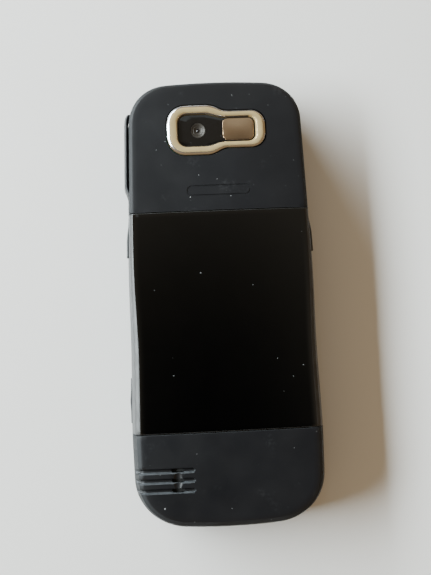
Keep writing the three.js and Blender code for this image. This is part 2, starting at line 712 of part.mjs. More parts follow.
// Casing
add('front_cover', frontCover(), MATERIALS.soft);
add('chassis', chassis(), MATERIALS.sideBand);
add('rear_top_cover', rearTopCover(), MATERIALS.soft);
add('battery_cover', batteryCover(), MATERIALS.gloss);
add('rear_bottom_cover', rearBottomCover(), MATERIALS.soft);

// Front
const windowPlate = roundedRectangle(WINDOW.width, WINDOW.height, WINDOW.corner);
add('display_window', prism(windowPlate, WINDOW.front, WINDOW.back), MATERIALS.glass, 0, WINDOW.y);
add('display_module', displayModule(), MATERIALS.black);
add('earpiece_mesh', capsule(10.4, 2.6, 0.5), MATERIALS.fabric, 0, EARPIECE_SLOT.y, WALL + 0.05);
add('earpiece', capsule(10, 5, 1.5), MATERIALS.steel, 0, EARPIECE_SLOT.y - 0.4, WALL + 0.65);
add('microphone', prism(disc(2), 0, 1.4, 6), MATERIALS.steel, MICROPHONE.x, MICROPHONE.y, WALL + 0.3);
for (const key of FRONT_KEYS) {
  add(key.name, keyCap(key), MATERIALS.legendKey, key.x, key.y);
}
add('navigation_ring', navigationRing(), MATERIALS.key, 0, NAVIGATION.y);
add('navigation_plate', navigationPlate(), MATERIALS.black, 0, NAVIGATION.y);
const selectKey = { width: SELECT_SIZE, height: SELECT_SIZE, corner: SELECT_CORNER };
add('select_key', keyCap(selectKey), MATERIALS.champagne, 0, NAVIGATION.y);
add('keypad_mat', keypadMat(), MATERIALS.rubber);

// Side keys
add('volume_rocker', volumeRocker(), MATERIALS.soft);
add('camera_key', geometryOf(sideKey(CAMERA_KEY, -1)), MATERIALS.sideBand);
add('release_button_left', geometryOf(sideKey(RELEASE, -1)), MATERIALS.sideBand);
add('release_button_right', geometryOf(sideKey(RELEASE, 1)), MATERIALS.sideBand);
add('power_key', powerKey(), MATERIALS.key);

// Camera end
add('camera_bezel', cameraBezel(), MATERIALS.champagne, 0, BEZEL_Y);
add('camera_window', cameraWindow(), MATERIALS.glass, 0, BEZEL_Y);
add('portrait_mirror', portraitMirror(), MATERIALS.mirror, MIRROR.x, BEZEL_Y, 13.5);
add('camera_module', cameraModule(), MATERIALS.black, LENS_X, BEZEL_Y);
add('camera_lens', cameraLens(), MATERIALS.glass, LENS_X, BEZEL_Y, 11.7);

// Sockets
add('headset_jack', socketTube(HEADSET), MATERIALS.black, HEADSET.x, HEADSET.low, HEADSET.z);
add('charger_jack', socketTube(CHARGER), MATERIALS.steel, CHARGER.x, CHARGER.low, CHARGER.z);
add('data_socket', dataSocket(), MATERIALS.steel);

// Electronics
add('main_board', mainBoard(), MATERIALS.board);
add('processor_shield_can', shieldCan(24, 24), MATERIALS.steel, -4, -16, BOARD_BACK + 0.1);
add('rf_shield_can', shieldCan(26, 13), MATERIALS.steel, 0, -36, BOARD_BACK + 0.1);
add('battery', batteryPack(), MATERIALS.battery, 0, BATTERY.y);
add('battery_contacts', batteryContacts(), MATERIALS.gold, 0, 23.0, BATTERY.front);
add('sim_holder', simHolder(), MATERIALS.steel, -1, 8, BOARD_BACK + 0.1);
add('sim_card', cornerCutCard(23, 13, 2.5, 0.8), MATERIALS.card, -1, 8, 6.4);
add('memory_card', cornerCutCard(11, 15, 1.5, 0.7), MATERIALS.black, 8, -16, 6.55);
add('loudspeaker', loudspeaker(), MATERIALS.steel, SPEAKER_X, SPEAKER_Y, 8.3);
add('speaker_dust_mesh', speakerDustMesh(), MATERIALS.fabric, SPEAKER_X, SPEAKER_Y, 11.9);
add('antenna', antenna(), MATERIALS.gold, -1.5, -47.4, 11.6);
add('vibration_motor', vibrationMotor(), MATERIALS.steel, 13.5, 31, 9.4);
add('vibration_weight', vibrationWeight(), MATERIALS.steel, 6.6, 31, 9.4);
SCREWS.forEach(([x, y], index) => add(`screw_${index + 1}`, screw(), MATERIALS.steel, x, y, 7.3));

export default group;
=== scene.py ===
"""A slim candybar camera phone lying face down on a pale table, seen from above its back.

Metres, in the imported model's frame: +Y to the camera end, +Z out of the back, front face at z = 0.
"""

import json
import math

import bmesh
import bpy
from mathutils import Matrix, Vector


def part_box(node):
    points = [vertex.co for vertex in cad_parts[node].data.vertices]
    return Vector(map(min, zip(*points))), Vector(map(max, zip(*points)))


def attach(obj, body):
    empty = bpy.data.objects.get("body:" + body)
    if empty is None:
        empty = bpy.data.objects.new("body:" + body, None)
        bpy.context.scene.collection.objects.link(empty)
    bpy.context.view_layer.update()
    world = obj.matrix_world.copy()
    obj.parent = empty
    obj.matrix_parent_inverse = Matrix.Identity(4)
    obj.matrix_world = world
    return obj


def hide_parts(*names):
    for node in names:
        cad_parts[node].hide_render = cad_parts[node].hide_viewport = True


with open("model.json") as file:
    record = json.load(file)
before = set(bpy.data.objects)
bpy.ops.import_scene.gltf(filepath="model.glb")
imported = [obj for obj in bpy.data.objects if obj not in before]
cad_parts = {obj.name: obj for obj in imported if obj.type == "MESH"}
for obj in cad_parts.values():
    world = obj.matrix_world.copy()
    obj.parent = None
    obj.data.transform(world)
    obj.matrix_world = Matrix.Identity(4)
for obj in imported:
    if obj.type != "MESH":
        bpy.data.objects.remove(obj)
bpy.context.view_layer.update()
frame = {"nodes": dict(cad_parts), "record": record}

# ------------ driving dimensions

MM = 0.001
LENGTH = 109.4 * MM
BACK_Z = 14.0 * MM
WIDEST_Z = 5.0 * MM
HALF_LENGTH = LENGTH / 2

# Half width of the casing at its widest height: (x, y) from the bottom corners to the top corners.
SIDE_STATIONS = [(x * MM, y * MM) for x, y in (
    (23.45, -42), (23.6, -31), (23.1, -10), (23.05, 7), (22.5, 22.3), (21.8, 44.5))]
BOTTOM_CORNER = 12.3 * MM
TOP_CORNER = 9.8 * MM
END_CROWN = 0.4 * MM
BEND = 0.5523                   # handle length of a Bezier quarter circle
SIDE_TOP_Z = 12.93 * MM         # the bowed side ends here and the shoulder begins
CREASE_Z = 13.42 * MM           # the crease between the shoulder and the back face
# The crease's inset from the outline and the shoulder's width in plan change between these two stations.
TOP_STATION = {"y": 30 * MM, "crease": 1.45 * MM, "shoulder": 0.62 * MM}
BOTTOM_STATION = {"y": -25 * MM, "crease": 2.45 * MM, "shoulder": 0.95 * MM}
ROLL = 1.5 * MM                 # the back face rolls off towards its crease over this width
ROLL_Z = 13.56 * MM
FRONT_SHOULDER = 1.8 * MM
TOP_TURN_Y = 44 * MM            # the outline's normals turn into the corners between the seams and here
BOTTOM_TURN_Y = -42 * MM

SIDE_STEP = 1.15 * MM           # spacing of the mesh along the straight sides
CORNER_STEPS = 18
END_STEPS = 9
SIDE_STEPS = 10
SHOULDER_STEPS = 4
ROLL_STEPS = 4
CAP_STEPS = 8
BAND_STEPS = 8
RIM_STEPS = 4                   # steps round the front edge of a cap
SPINE_END = 34 * MM             # the mesh of the flat faces gathers on a spine between -y and +y here
MERGE_DISTANCE = 0.001 * MM

WALL = 1.2 * MM
LID_WALL = 0.5 * MM             # the battery cover is a shallow lid over the chassis rails
FRAME_WALL = 1.6 * MM
SEAM = 0.16 * MM
EDGE_ROUND = 0.14 * MM
FINE_ROUND = 0.1 * MM
ROUND_ANGLE = math.radians(50)  # edges sharper than this are rounded
FRONT_SEAM_Z = 4.75 * MM
COVER_SEAM_Z = 8.1 * MM
RAIL_TOP_Z = 12.4 * MM
TOP_SEAM_Y = 22.1 * MM
BOTTOM_SEAM_Y = -31.05 * MM
INSIDE_Z = 10 * MM              # cutting tools for the back reach from here
ABOVE_Z = 16 * MM               # up to here

BEZEL_Y = 41.95 * MM
BEZEL_TOP_Z = 14.3 * MM
BEZEL_END_X = 8 * MM            # the bezel's right end is past this
# The keyhole outlines, their gaps and their neck are in millimetres, about the bezel's middle.
BEZEL_GAP = 0.26
WINDOW_GAP = 0.06
NECK_LENGTH = 5.2
NECK_EASE = 0.42                # how far the bends of the neck reach into it
BEZEL_RIM = {"left": 11.9, "right": 12.1, "big": 6.1, "small": 4.55, "big_corner": 4.5,
             "small_corner": 3.3, "neck": 0.6}
BEZEL_MOUTH = {"left": 9.1, "right": 9.75, "big": 3.9, "small": 2.95, "big_corner": 2.1,
               "small_corner": 1.65, "neck": -0.2}
# Share of the way from rim to mouth, and depth in millimetres below the top of the ring.
BEZEL_SECTION = [(0.0, 1.3), (0.0, 0.5), (0.03, 0.36), (0.2, 0.11), (0.27, 0.03), (0.42, 0.0), (0.66, 0.02),
                 (0.84, 0.09), (0.88, 0.16), (0.94, 0.42), (1.0, 0.7), (1.0, 1.3)]
WINDOW_Z = (12.95 * MM, 13.42 * MM)
LENS_X = -4.3 * MM
LENS_RADIUS = 1.9 * MM
# Radius and height, both in millimetres, of the stepped cone round the front element.
LENS_STEPS = [(0.05, 12.2), (1.85, 12.2), (1.85, 13.3), (1.72, 13.34), (1.6, 13.3), (1.2, 13.1),
              (1.12, 13.14), (1.0, 13.1), (0.9, 13.02), (0.46, 12.94), (0.42, 12.7), (0.05, 12.7)]
DOME_RADIUS = 0.4 * MM
DOME_Z = (12.72 * MM, 12.76 * MM, 12.98 * MM)
MIRROR_X = 5.5 * MM
MIRROR_SIZE = (7.6 * MM, 5.4 * MM)
MIRROR_CORNER = 1.3 * MM
MIRROR_Z = (13.5 * MM, 13.82 * MM)
MIRROR_RIM = 0.12 * MM
MIRROR_CROWN = 0.09 * MM

RECESS_SIZE = (15.6 * MM, 2.7 * MM)
RECESS_PLACE = (0.1 * MM, 27.0 * MM)
RECESS_CORNER = 1.34 * MM
RECESS_LINE = 0.42 * MM
RECESS_DEPTH = 0.16 * MM

GROOVE_COUNT = 3
GROOVE_FIRST_Y = -39.7 * MM
GROOVE_PITCH = 2.34 * MM
GROOVE_WIDTH = 1.5 * MM
GROOVE_END_X = -8.4 * MM
GROOVE_DEPTH = 0.7 * MM
GROOVE_FADE = 4.5 * MM          # the groove deepens over this length from its end on the side
GROOVE_LOW_Z = 9.0 * MM
HOLE_X = (-14.2 * MM, -11.2 * MM)
HOLE_Y = (-0.42 * MM, 0.46 * MM)
HOLE_LOW_Z = 11 * MM
HOLE_ROUND = 0.3 * MM
DENT_RADII = Vector((1.9, 4.6, 2.2)) * MM
DENT_ABOVE_BACK = 1.65 * MM
GROOVE_ZONE_Y = (-46 * MM, -38 * MM)    # the grooves' faces lie within this and left of the next
GROOVE_ZONE_X = -8 * MM
WORN_GROOVE_X = -20 * MM        # the grooves' walls are rubbed from the side in to here

KEY_CLEARANCE = 0.22 * MM
KEY_WALL = 0.9 * MM
KEY_DEPTH = 3.4 * MM            # how far a side key's pocket reaches in from its face
KEY_ROWS = 40
KEY_STEPS = 10
BEYOND = 40 * MM                # side tools reach out to here
END_REACH = 5 * MM              # end tools reach this far past their piece
JACK_CLEARANCE = 0.15 * MM
SOCKET_ROUND = 0.4 * MM
ROCKER_ROUND = 0.42 * MM
SIDE_KEY_ROUND = 0.2 * MM

NUMBER_KEYS = ["1", "2", "3", "4", "5", "6", "7", "8", "9", "star", "0", "hash"]
LEGENDS = {"star": "*", "hash": "#"}
LEGEND_SIZE = 3.4 * MM
INK = 0.012 * MM
COLOUR_BAR = (5.2 * MM, 0.8 * MM)
PALE_BAR = (3.4 * MM, 0.5 * MM)
FUNCTION_KEYS = ["soft_key_left", "soft_key_right", "call_key", "end_key"]
NUMBER_CORNER = 1.6 * MM
FUNCTION_CORNER = 1.8 * MM
SELECT_CORNER = 2.0 * MM
RING_CORNER = 4.0 * MM
DISPLAY_CORNER = 1.6 * MM
FRONT_CORNERS = {f"key_{label}": NUMBER_CORNER for label in NUMBER_KEYS}
FRONT_CORNERS.update({name: FUNCTION_CORNER for name in FUNCTION_KEYS})
FRONT_CORNERS.update({"navigation_ring": RING_CORNER, "display_window": DISPLAY_CORNER})
CAP_BACK_Z = 1.35 * MM
CAP_ROUND = 0.32 * MM
CAP_CROWN = 0.1 * MM
RING_OPENING = 7.6 * MM
RING_OPENING_CORNER = 2.4 * MM
# Share of the way from the ring's outside to its opening, and height in millimetres.
RING_SECTION = [(0.0, 1.35), (0.0, 0.6), (0.05, 0.36), (0.16, 0.22), (0.5, 0.2), (0.82, 0.34), (1.0, 0.62),
                (1.0, 1.35)]
FRONT_TOOL_Z = (-1.0 * MM, 1.5 * MM)
EARPIECE_SLOT = (9 * MM, 1.5 * MM)
EARPIECE_CORNER = 0.74 * MM
MICROPHONE_RADIUS = 0.5 * MM
SCREEN_SIZE = (30.6 * MM, 40.8 * MM)
SCREEN_DROP = 0.6 * MM

# ------------ mesh helpers


def add_object(name, data):
    piece = bpy.data.objects.new(name, data)
    bpy.context.scene.collection.objects.link(piece)
    return piece


def mesh_object(name, vertices, faces):
    mesh = bpy.data.meshes.new(name)
    mesh.from_pydata([tuple(v) for v in vertices], [], faces)
    mesh.update()
    return add_object(name, mesh)


def edit(piece, change):
    """Run change(bm) on the mesh of a piece."""
    bm = bmesh.new()
    bm.from_mesh(piece.data)
    change(bm)
    bm.to_mesh(piece.data)
    bm.free()
    return piece


def clean(piece):
    """Merge the points that coincide and turn every face outward."""
    def change(bm):
        bmesh.ops.remove_doubles(bm, verts=bm.verts, dist=MERGE_DISTANCE)
        bmesh.ops.dissolve_degenerate(bm, edges=bm.edges, dist=MERGE_DISTANCE / 10)
        bmesh.ops.recalc_face_normals(bm, faces=bm.faces)
    return edit(piece, change)


def modify(piece, kind, **settings):
    """Add a modifier with these settings."""
    modifier = piece.modifiers.new(kind.lower(), kind)
    for key, value in settings.items():
        setattr(modifier, key, value)
    return piece


def applied(piece):
    """Turn what the modifiers make of a piece into its mesh."""
    evaluated = piece.evaluated_get(bpy.context.evaluated_depsgraph_get())
    finished = bpy.data.meshes.new_from_object(evaluated)
    piece.modifiers.clear()
    old = piece.data
    piece.data = finished
    bpy.data.meshes.remove(old)
    return piece


def cut(piece, tool):
    """Take a tool, which is used up, out of a piece."""
    applied(modify(piece, "BOOLEAN", operation="DIFFERENCE", solver="MANIFOLD", object=tool))
    bpy.data.objects.remove(tool)
    return piece


def thicken(piece, thickness):
    return applied(modify(piece, "SOLIDIFY", thickness=thickness, offset=-1))


def round_edges(piece, width, segments=2):
    modify(piece, "BEVEL", width=width, segments=segments, limit_method="ANGLE", angle_limit=ROUND_ANGLE,
           use_clamp_overlap=False, miter_outer="MITER_ARC")
    return applied(piece)


def smooth(piece, angle):
    """Smooth shading, with edges sharper than the angle in degrees left sharp."""
    limit = math.radians(angle)

    def change(bm):
        for face in bm.faces:
            face.smooth = True
        for edge in bm.edges:
            folded = len(edge.link_faces) == 2 and edge.calc_face_angle(0) > limit
            edge.smooth = not folded
    return edit(piece, change)


def join(first, second):
    """Add the mesh of the second piece, which is used up, to the first."""
    edit(first, lambda bm: bm.from_mesh(second.data))
    bpy.data.objects.remove(second)
    return first


def steps_between(start, end, count):
    return [start + (end - start) * step / count for step in range(count + 1)]


def smoothstep(low, high, value):
    t = min(max((value - low) / (high - low), 0), 1)
    return t * t * (3 - 2 * t)


def grid_faces(columns, rows, closed):
    """Quads of a grid whose points run column by column."""
    faces = []
    for i in range(columns if closed else columns - 1):
        here = i * rows
        there = ((i + 1) % columns) * rows
        for k in range(rows - 1):
            faces.append((here + k, there + k, there + k + 1, here + k + 1))
    return faces


def loft(name, rings, closed_ends=True):
    """A body through a stack of closed rings of equal length."""
    count = len(rings[0])
    faces = []
    for low in range(0, (len(rings) - 1) * count, count):
        for i in range(count):
            j = (i + 1) % count
            faces.append((low + i, low + j, low + count + j, low + count + i))
    if closed_ends:
        last = (len(rings) - 1) * count
        faces.append(tuple(reversed(range(count))))
        faces.append(tuple(last + i for i in range(count)))
    return mesh_object(name, [point for ring in rings for point in ring], faces)


def level(points, z, x=0.0, y=0.0):
    """The points of a plan outline, moved by (x, y) and set at one height."""
    return [Vector((p.x + x, p.y + y, z)) for p in points]


def circle(radius, count=48):
    turns = [2 * math.pi * k / count for k in range(count)]
    return [Vector((radius * math.cos(a), radius * math.sin(a))) for a in turns]


def rounded_rectangle(width, height, corner, steps=8, side_steps=1):
    """Points round a rectangle with round corners, counter-clockwise, about its middle."""
    corners = []
    for quarter, (sx, sy) in enumerate([(1, 1), (-1, 1), (-1, -1), (1, -1)]):
        arc = []
        for turn in steps_between(quarter, quarter + 1, steps):
            angle = turn * math.pi / 2
            x = sx * (width / 2 - corner) + corner * math.cos(angle)
            y = sy * (height / 2 - corner) + corner * math.sin(angle)
            arc.append(Vector((x, y)))
        corners.append(arc)
    points = []
    for arc, following in zip(corners, corners[1:] + corners[:1]):
        points += arc
        points += [arc[-1].lerp(following[0], step / side_steps) for step in range(1, side_steps)]
    return points


def shrink(points, inset):
    """Points of a closed outline moved inward along their normals."""
    moved = []
    for before, point, after in zip(points[-1:] + points[:-1], points, points[1:] + points[:1]):
        along = (after - before).normalized()
        moved.append(point + Vector((-along.y, along.x)) * inset)
    return moved


def prism(name, points, low, high, x=0.0, y=0.0):
    return loft(name, [level(points, z, x, y) for z in (low, high)])


def ring_body(name, outer, inner, section, x, y):
    """A ring; its section holds shares of the way from the outer outline to the inner, and heights."""
    rings = [level([a.lerp(b, share) for a, b in zip(outer, inner)], z, x, y) for share, z in section]
    return clean(loft(name, rings + [rings[0]], closed_ends=False))


def pad(name, points, back, front, rounding, crown=0.0, x=0.0, y=0.0, cap_steps=4):
    """A cap with a rounded front edge and a domed front face; front may be above or below back."""
    facing = 1 if front > back else -1
    edge = front - facing * crown
    rings = [level(points, back, x, y)]
    for angle in steps_between(0, math.pi / 2, RIM_STEPS):
        inner = shrink(points, rounding * (1 - math.cos(angle)))
        rings.append(level(inner, edge - facing * rounding * (1 - math.sin(angle)), x, y))
    outer = shrink(points, rounding)
    reach_x = max(p.x for p in outer)
    reach_y = max(p.y for p in outer)
    for step in range(1, cap_steps + 1):
        inner = [p * (1 - step / (cap_steps + 1)) for p in outer]
        ring = level(inner, edge, x, y)
        for point, p in zip(ring, inner):
            point.z += facing * crown * (1 - (p.x / reach_x) ** 2) * (1 - (p.y / reach_y) ** 2)
        rings.append(ring)
    if facing < 0:
        rings.reverse()
    return clean(loft(name, rings))


def bezier(a, b, c, d, steps):
    """Points of a Bezier curve after its first."""
    points = []
    for t in steps_between(0, 1, steps)[1:]:
        s = 1 - t
        points.append(a * s ** 3 + b * 3 * s * s * t + c * 3 * s * t * t + d * t ** 3)
    return points


# ------------ the casing's form


def station_slope(index):
    """How fast the half width changes with y at a station."""
    low = SIDE_STATIONS[max(index - 1, 0)]
    high = SIDE_STATIONS[min(index + 1, len(SIDE_STATIONS) - 1)]
    return (high[0] - low[0]) / (high[1] - low[1])


def side_half_width(y):
    """Half width of the straight sides at y, on a smooth curve through the stations."""
    index = 0
    while index < len(SIDE_STATIONS) - 2 and y > SIDE_STATIONS[index + 1][1]:
        index += 1
    (x0, y0), (x1, y1) = SIDE_STATIONS[index:index + 2]
    span = y1 - y0
    t = (y - y0) / span
    leaving = (t ** 3 - 2 * t ** 2 + t) * span * station_slope(index)
    arriving = (t ** 3 - t ** 2) * span * station_slope(index + 1)
    return x0 + (x1 - x0) * t * t * (3 - 2 * t) + leaving + arriving


def side_rows(low, high):
    """Heights along a side, evenly spaced, with a row on each lip of both seams."""
    marks = [low]
    for seam in (BOTTOM_SEAM_Y, TOP_SEAM_Y):
        marks += [seam - SEAM / 2, seam + SEAM / 2]
    marks.append(high)
    rows = []
    for start, end in zip(marks, marks[1:]):
        rows += steps_between(start, end, max(1, round((end - start) / SIDE_STEP)))[:-1]
    return rows + [high]


def end_curve(station, corner, end, lean):
    """Points from the middle of an end (-1 bottom, 1 top) to where its corner meets the right side."""
    side_x, side_y = station
    edge_x = side_x - corner
    edge_y = end * (HALF_LENGTH - END_CROWN)
    across = steps_between(0, edge_x, END_STEPS)
    points = [Vector((x, end * (HALF_LENGTH - END_CROWN * (x / edge_x) ** 2))) for x in across]
    slope = -end * 2 * END_CROWN / edge_x
    reach = BEND * corner
    rise = BEND * (edge_y - side_y)
    return points + bezier(
        Vector((edge_x, edge_y)), Vector((edge_x + reach, edge_y + reach * slope)),
        Vector((side_x + lean * rise, side_y + rise)), Vector(station), CORNER_STEPS)


def casing_outline():
    """Points round the casing at its widest, counter-clockwise from the middle of the bottom end."""
    low, high = SIDE_STATIONS[0], SIDE_STATIONS[-1]
    lean = (side_half_width(high[1]) - side_half_width(high[1] - SIDE_STEP)) / SIDE_STEP
    half = end_curve(low, BOTTOM_CORNER, -1, 0)
    half += [Vector((side_half_width(y), y)) for y in side_rows(low[1], high[1])[1:]]
    half += end_curve(high, TOP_CORNER, 1, lean)[-2::-1]
    return half + [Vector((-p.x, p.y)) for p in reversed(half[1:-1])]


OUTLINE = casing_outline()


def outline_normal(i):
    """Outward normal; between the seams it stays square to the length, so that rows keep their y."""
    here = OUTLINE[i]
    along = (OUTLINE[(i + 1) % len(OUTLINE)] - OUTLINE[i - 1]).normalized()
    true = Vector((along.y, -along.x))
    square = Vector((math.copysign(1, here.x), 0))
    above = smoothstep(TOP_SEAM_Y + SEAM, TOP_TURN_Y, here.y)
    below = smoothstep(-BOTTOM_SEAM_Y + SEAM, -BOTTOM_TURN_Y, -here.y)
    return square.lerp(true, max(above, below)).normalized()


NORMALS = [outline_normal(i) for i in range(len(OUTLINE))]


def between_stations(name, y):
    """The inset of the crease or the width of the shoulder at y."""
    share = smoothstep(BOTTOM_STATION["y"], TOP_STATION["y"], y)
    return BOTTOM_STATION[name] + (TOP_STATION[name] - BOTTOM_STATION[name]) * share


def inset_point(i, inset, z):
    place = OUTLINE[i] - NORMALS[i] * inset
    return Vector((place.x, place.y, z))


def side_point(i, z, proud=0.0):
    """A point on the bowed side above the widest height."""
    share = (z - WIDEST_Z) / (SIDE_TOP_Z - WIDEST_Z)
    y = OUTLINE[i].y
    lean = between_stations("crease", y) - between_stations("shoulder", y)
    return inset_point(i, lean * share ** 2 - proud, z)


def shoulder_point(i, share):
    """A point between the top of the side (0) and the crease (1)."""
    rise = 1.24 * share - 0.24 * share ** 2
    y = OUTLINE[i].y
    inset = between_stations("crease", y) - between_stations("shoulder", y) * (1 - share)
    return inset_point(i, inset, SIDE_TOP_Z + (CREASE_Z - SIDE_TOP_Z) * rise)


def roll_point(i, share):
    """A point of the back face between the crease (0) and the even crown (1)."""
    rise = 1.7 * share - 0.7 * share ** 2
    inset = between_stations("crease", OUTLINE[i].y) + ROLL * share
    return inset_point(i, inset, CREASE_Z + (ROLL_Z - CREASE_Z) * rise)


def front_point(i, angle, proud=0.0):
    """A point of the round shoulder at the front, from the widest height (0) to the front face."""
    inset = FRONT_SHOULDER * (1 - math.cos(angle)) - proud
    return inset_point(i, inset, WIDEST_Z * (1 - math.sin(angle)))


def front_angle(z):
    return math.asin(1 - z / WIDEST_Z)


def cap_point(edge, share, crown):
    """A point between the edge of a flat face and its spine."""
    spine = Vector((0, min(max(edge.y, -SPINE_END), SPINE_END), edge.z))
    point = edge.lerp(spine, share)
    point.z += crown * (1 - (1 - share) ** 2)
    return point


def cap_points(edge, crown):
    return [cap_point(edge, share, crown) for share in steps_between(0, 1, CAP_STEPS)[1:]]


def rising_profile(i, low_z):
    """Points from a height on the side up over the shoulder to the even crown."""
    points = [side_point(i, z) for z in steps_between(low_z, SIDE_TOP_Z, SIDE_STEPS)[:-1]]
    points += [shoulder_point(i, share) for share in steps_between(0, 1, SHOULDER_STEPS)]
    return points + [roll_point(i, share) for share in steps_between(0, 1, ROLL_STEPS)[1:]]


def back_profile(i, low_z):
    points = rising_profile(i, low_z)
    return points + cap_points(points[-1], BACK_Z - ROLL_Z)


def band_profile(i, low_z, high_z, proud=0.0, steps=BAND_STEPS):
    points = []
    for z in steps_between(low_z, high_z, steps):
        if z < WIDEST_Z:
            points.append(front_point(i, front_angle(z), proud))
        else:
            points.append(side_point(i, z, proud))
    return points


def skin(name, columns, profile, closed=False):
    """A sheet over some columns of the outline, each with its own profile of points."""
    profiles = [profile(i) for i in columns]
    vertices = [point for points in profiles for point in points]
    faces = grid_faces(len(profiles), len(profiles[0]), closed)
    return mesh_object(name, vertices, faces)


def columns_between(low_y, high_y, side):
    """Outline columns of one straight side, counter-clockwise; side is 1 right and -1 left."""
    slack = SEAM / 10
    return [i for i, p in enumerate(OUTLINE) if low_y - slack <= p.y <= high_y + slack and p.x * side > 0]


def nearest_columns(y, side):
    """Outline columns of one side in order of their distance from y along the length."""
    return sorted(range(len(OUTLINE)), key=lambda i: abs(OUTLINE[i].y - y) + (OUTLINE[i].x * side < 0))


def shell(piece, thickness, rounding=EDGE_ROUND):
    """Give a sheet its wall and its softened edges."""
    return round_edges(thicken(clean(piece), thickness), rounding)


# ------------ cutting tools


def primitive_tool(middle, radii, make, **settings):
    """A cube or sphere of radius 1, stretched to these radii."""
    tool = mesh_object("tool", [], [])

    def change(bm):
        make(bm, **settings)
        bmesh.ops.scale(bm, vec=radii, verts=bm.verts)
        bmesh.ops.translate(bm, vec=middle, verts=bm.verts)
    return edit(tool, change)


def box_tool(low, high, rounding=0.0):
    low, high = Vector(low), Vector(high)
    tool = primitive_tool((low + high) / 2, (high - low) / 2, bmesh.ops.create_cube, size=2.0)
    return round_edges(tool, rounding, 3) if rounding else tool


def keyhole(sizes, grow=0.0, steps=10):
    """A keyhole outline in metres: a big lobe on the left and a small one on the right."""
    names = ("left", "right", "big", "small", "big_corner", "small_corner")
    left, right, big, small, big_corner, small_corner = (sizes[name] + grow for name in names)
    start = sizes["neck"] - NECK_LENGTH / 2
    end = sizes["neck"] + NECK_LENGTH / 2

    def corner(cx, cy, radius, first):
        angles = steps_between(first, first + math.pi / 2, steps)
        return [Vector((cx + radius * math.cos(a), cy + radius * math.sin(a))) for a in angles]

    def neck(a, b):
        ease = Vector((math.copysign(NECK_LENGTH * NECK_EASE, b.x - a.x), 0))
        return [a] + bezier(a, a + ease, b - ease, b, steps)

    points = corner(right - small_corner, -small + small_corner, small_corner, -math.pi / 2)
    points += corner(right - small_corner, small - small_corner, small_corner, 0)
    points += neck(Vector((end, small)), Vector((start, big)))
    points += corner(-left + big_corner, big - big_corner, big_corner, math.pi / 2)
    points += corner(-left + big_corner, -big + big_corner, big_corner, math.pi)
    points += neck(Vector((start, -big)), Vector((end, -small)))
    return [p * MM for p in points]


def groove_path(y):
    """Points across the back at y, from low on the left side to the inner end of a groove."""
    points = rising_profile(nearest_columns(y, -1)[0], GROOVE_LOW_Z)
    edge = points[-1]
    shares = steps_between(0, 1 - GROOVE_END_X / edge.x, 24)[1:]
    points += [cap_point(edge, share, BACK_Z - ROLL_Z) for share in shares]
    for point in points:
        point.y = y
    return points


def groove_tool(y):
    """A soft-lipped channel that follows the back over the left shoulder and fades out on the side."""
    path = groove_path(y)
    half = GROOVE_WIDTH / 2
    travelled = [0.0]
    for before, here in zip(path, path[1:]):
        travelled.append(travelled[-1] + (here - before).length)
    rings = []
    for before, point, after, done in zip(path[:1] + path[:-1], path, path[1:] + path[-1:], travelled):
        along = (after - before).normalized()
        normal = Vector((-along.z, 0, along.x))
        left = travelled[-1] - done
        taper = math.sqrt(max(1 - max(1 - left / half, 0) ** 2, 0.0025))
        fade = smoothstep(0, GROOVE_FADE, done)
        depth = GROOVE_DEPTH * max(fade, 0.02) * taper
        width = half * taper * max(fade, 0.3) ** 0.5
        ring = []
        for across in steps_between(-1, 1, 20):
            drop = 1.06 * (1 - smoothstep(0.3, 1.0, abs(across))) - 0.06
            ring.append(point + Vector((0, across * width, 0)) - normal * depth * drop)
        ring.append(point + Vector((0, width, 0)) + normal * MM)
        ring.append(point + Vector((0, -width, 0)) + normal * MM)
        rings.append(ring)
    return clean(loft("groove", rings))


def side_pocket(node, side):
    """Room for a side key; side is 1 on the right and -1 on the left."""
    low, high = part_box(node)
    face = high.x if side > 0 else -low.x
    reach = sorted((side * (face - KEY_DEPTH), side * BEYOND))
    return box_tool((reach[0], low.y - KEY_CLEARANCE, low.z - KEY_CLEARANCE),
                    (reach[1], high.y + KEY_CLEARANCE, high.z + KEY_CLEARANCE))


def end_pocket(node, below, above, rounding=0.0):
    """Room for a piece in an end, reaching past it towards -Y and +Y by these lengths."""
    low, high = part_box(node)
    return box_tool(low - Vector((KEY_CLEARANCE, below, KEY_CLEARANCE)),
                    high + Vector((KEY_CLEARANCE, above, KEY_CLEARANCE)), rounding)


def cut_jack_mouths(piece):
    """Round holes along Y over the two round sockets."""
    for node in ("headset_jack", "charger_jack"):
        low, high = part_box(node)
        middle = (low + high) / 2
        hole = circle((high.x - low.x) / 2 + JACK_CLEARANCE, 40)
        ends = (low.y, high.y + 2 * END_REACH)
        rings = [[Vector((middle.x + p.x, y, middle.z + p.y)) for p in hole] for y in ends]
        cut(piece, clean(loft("mouth", rings)))


def name_recess():
    """A plain capsule-shaped line pressed into the cover under the camera."""
    outer = rounded_rectangle(*RECESS_SIZE, RECESS_CORNER, 10)
    floor = BACK_Z - RECESS_DEPTH
    section = [(0, ABOVE_Z), (0, floor), (1, floor), (1, ABOVE_Z)]
    return ring_body("capsule", outer, shrink(outer, RECESS_LINE), section, *RECESS_PLACE)


# ------------ casing pieces


def rear_top_cover():
    columns = [i for i, p in enumerate(OUTLINE) if p.y >= TOP_SEAM_Y + SEAM / 4]
    piece = skin("rear_top_shell", columns, lambda i: back_profile(i, COVER_SEAM_Z + SEAM / 2))
    shell(piece, WALL)
    cut(piece, prism("mouth", keyhole(BEZEL_RIM, BEZEL_GAP), INSIDE_Z, ABOVE_Z, 0, BEZEL_Y))
    cut(piece, side_pocket("volume_rocker", -1))
    cut(piece, name_recess())
    cut_jack_mouths(piece)
    return smooth(piece, 35)


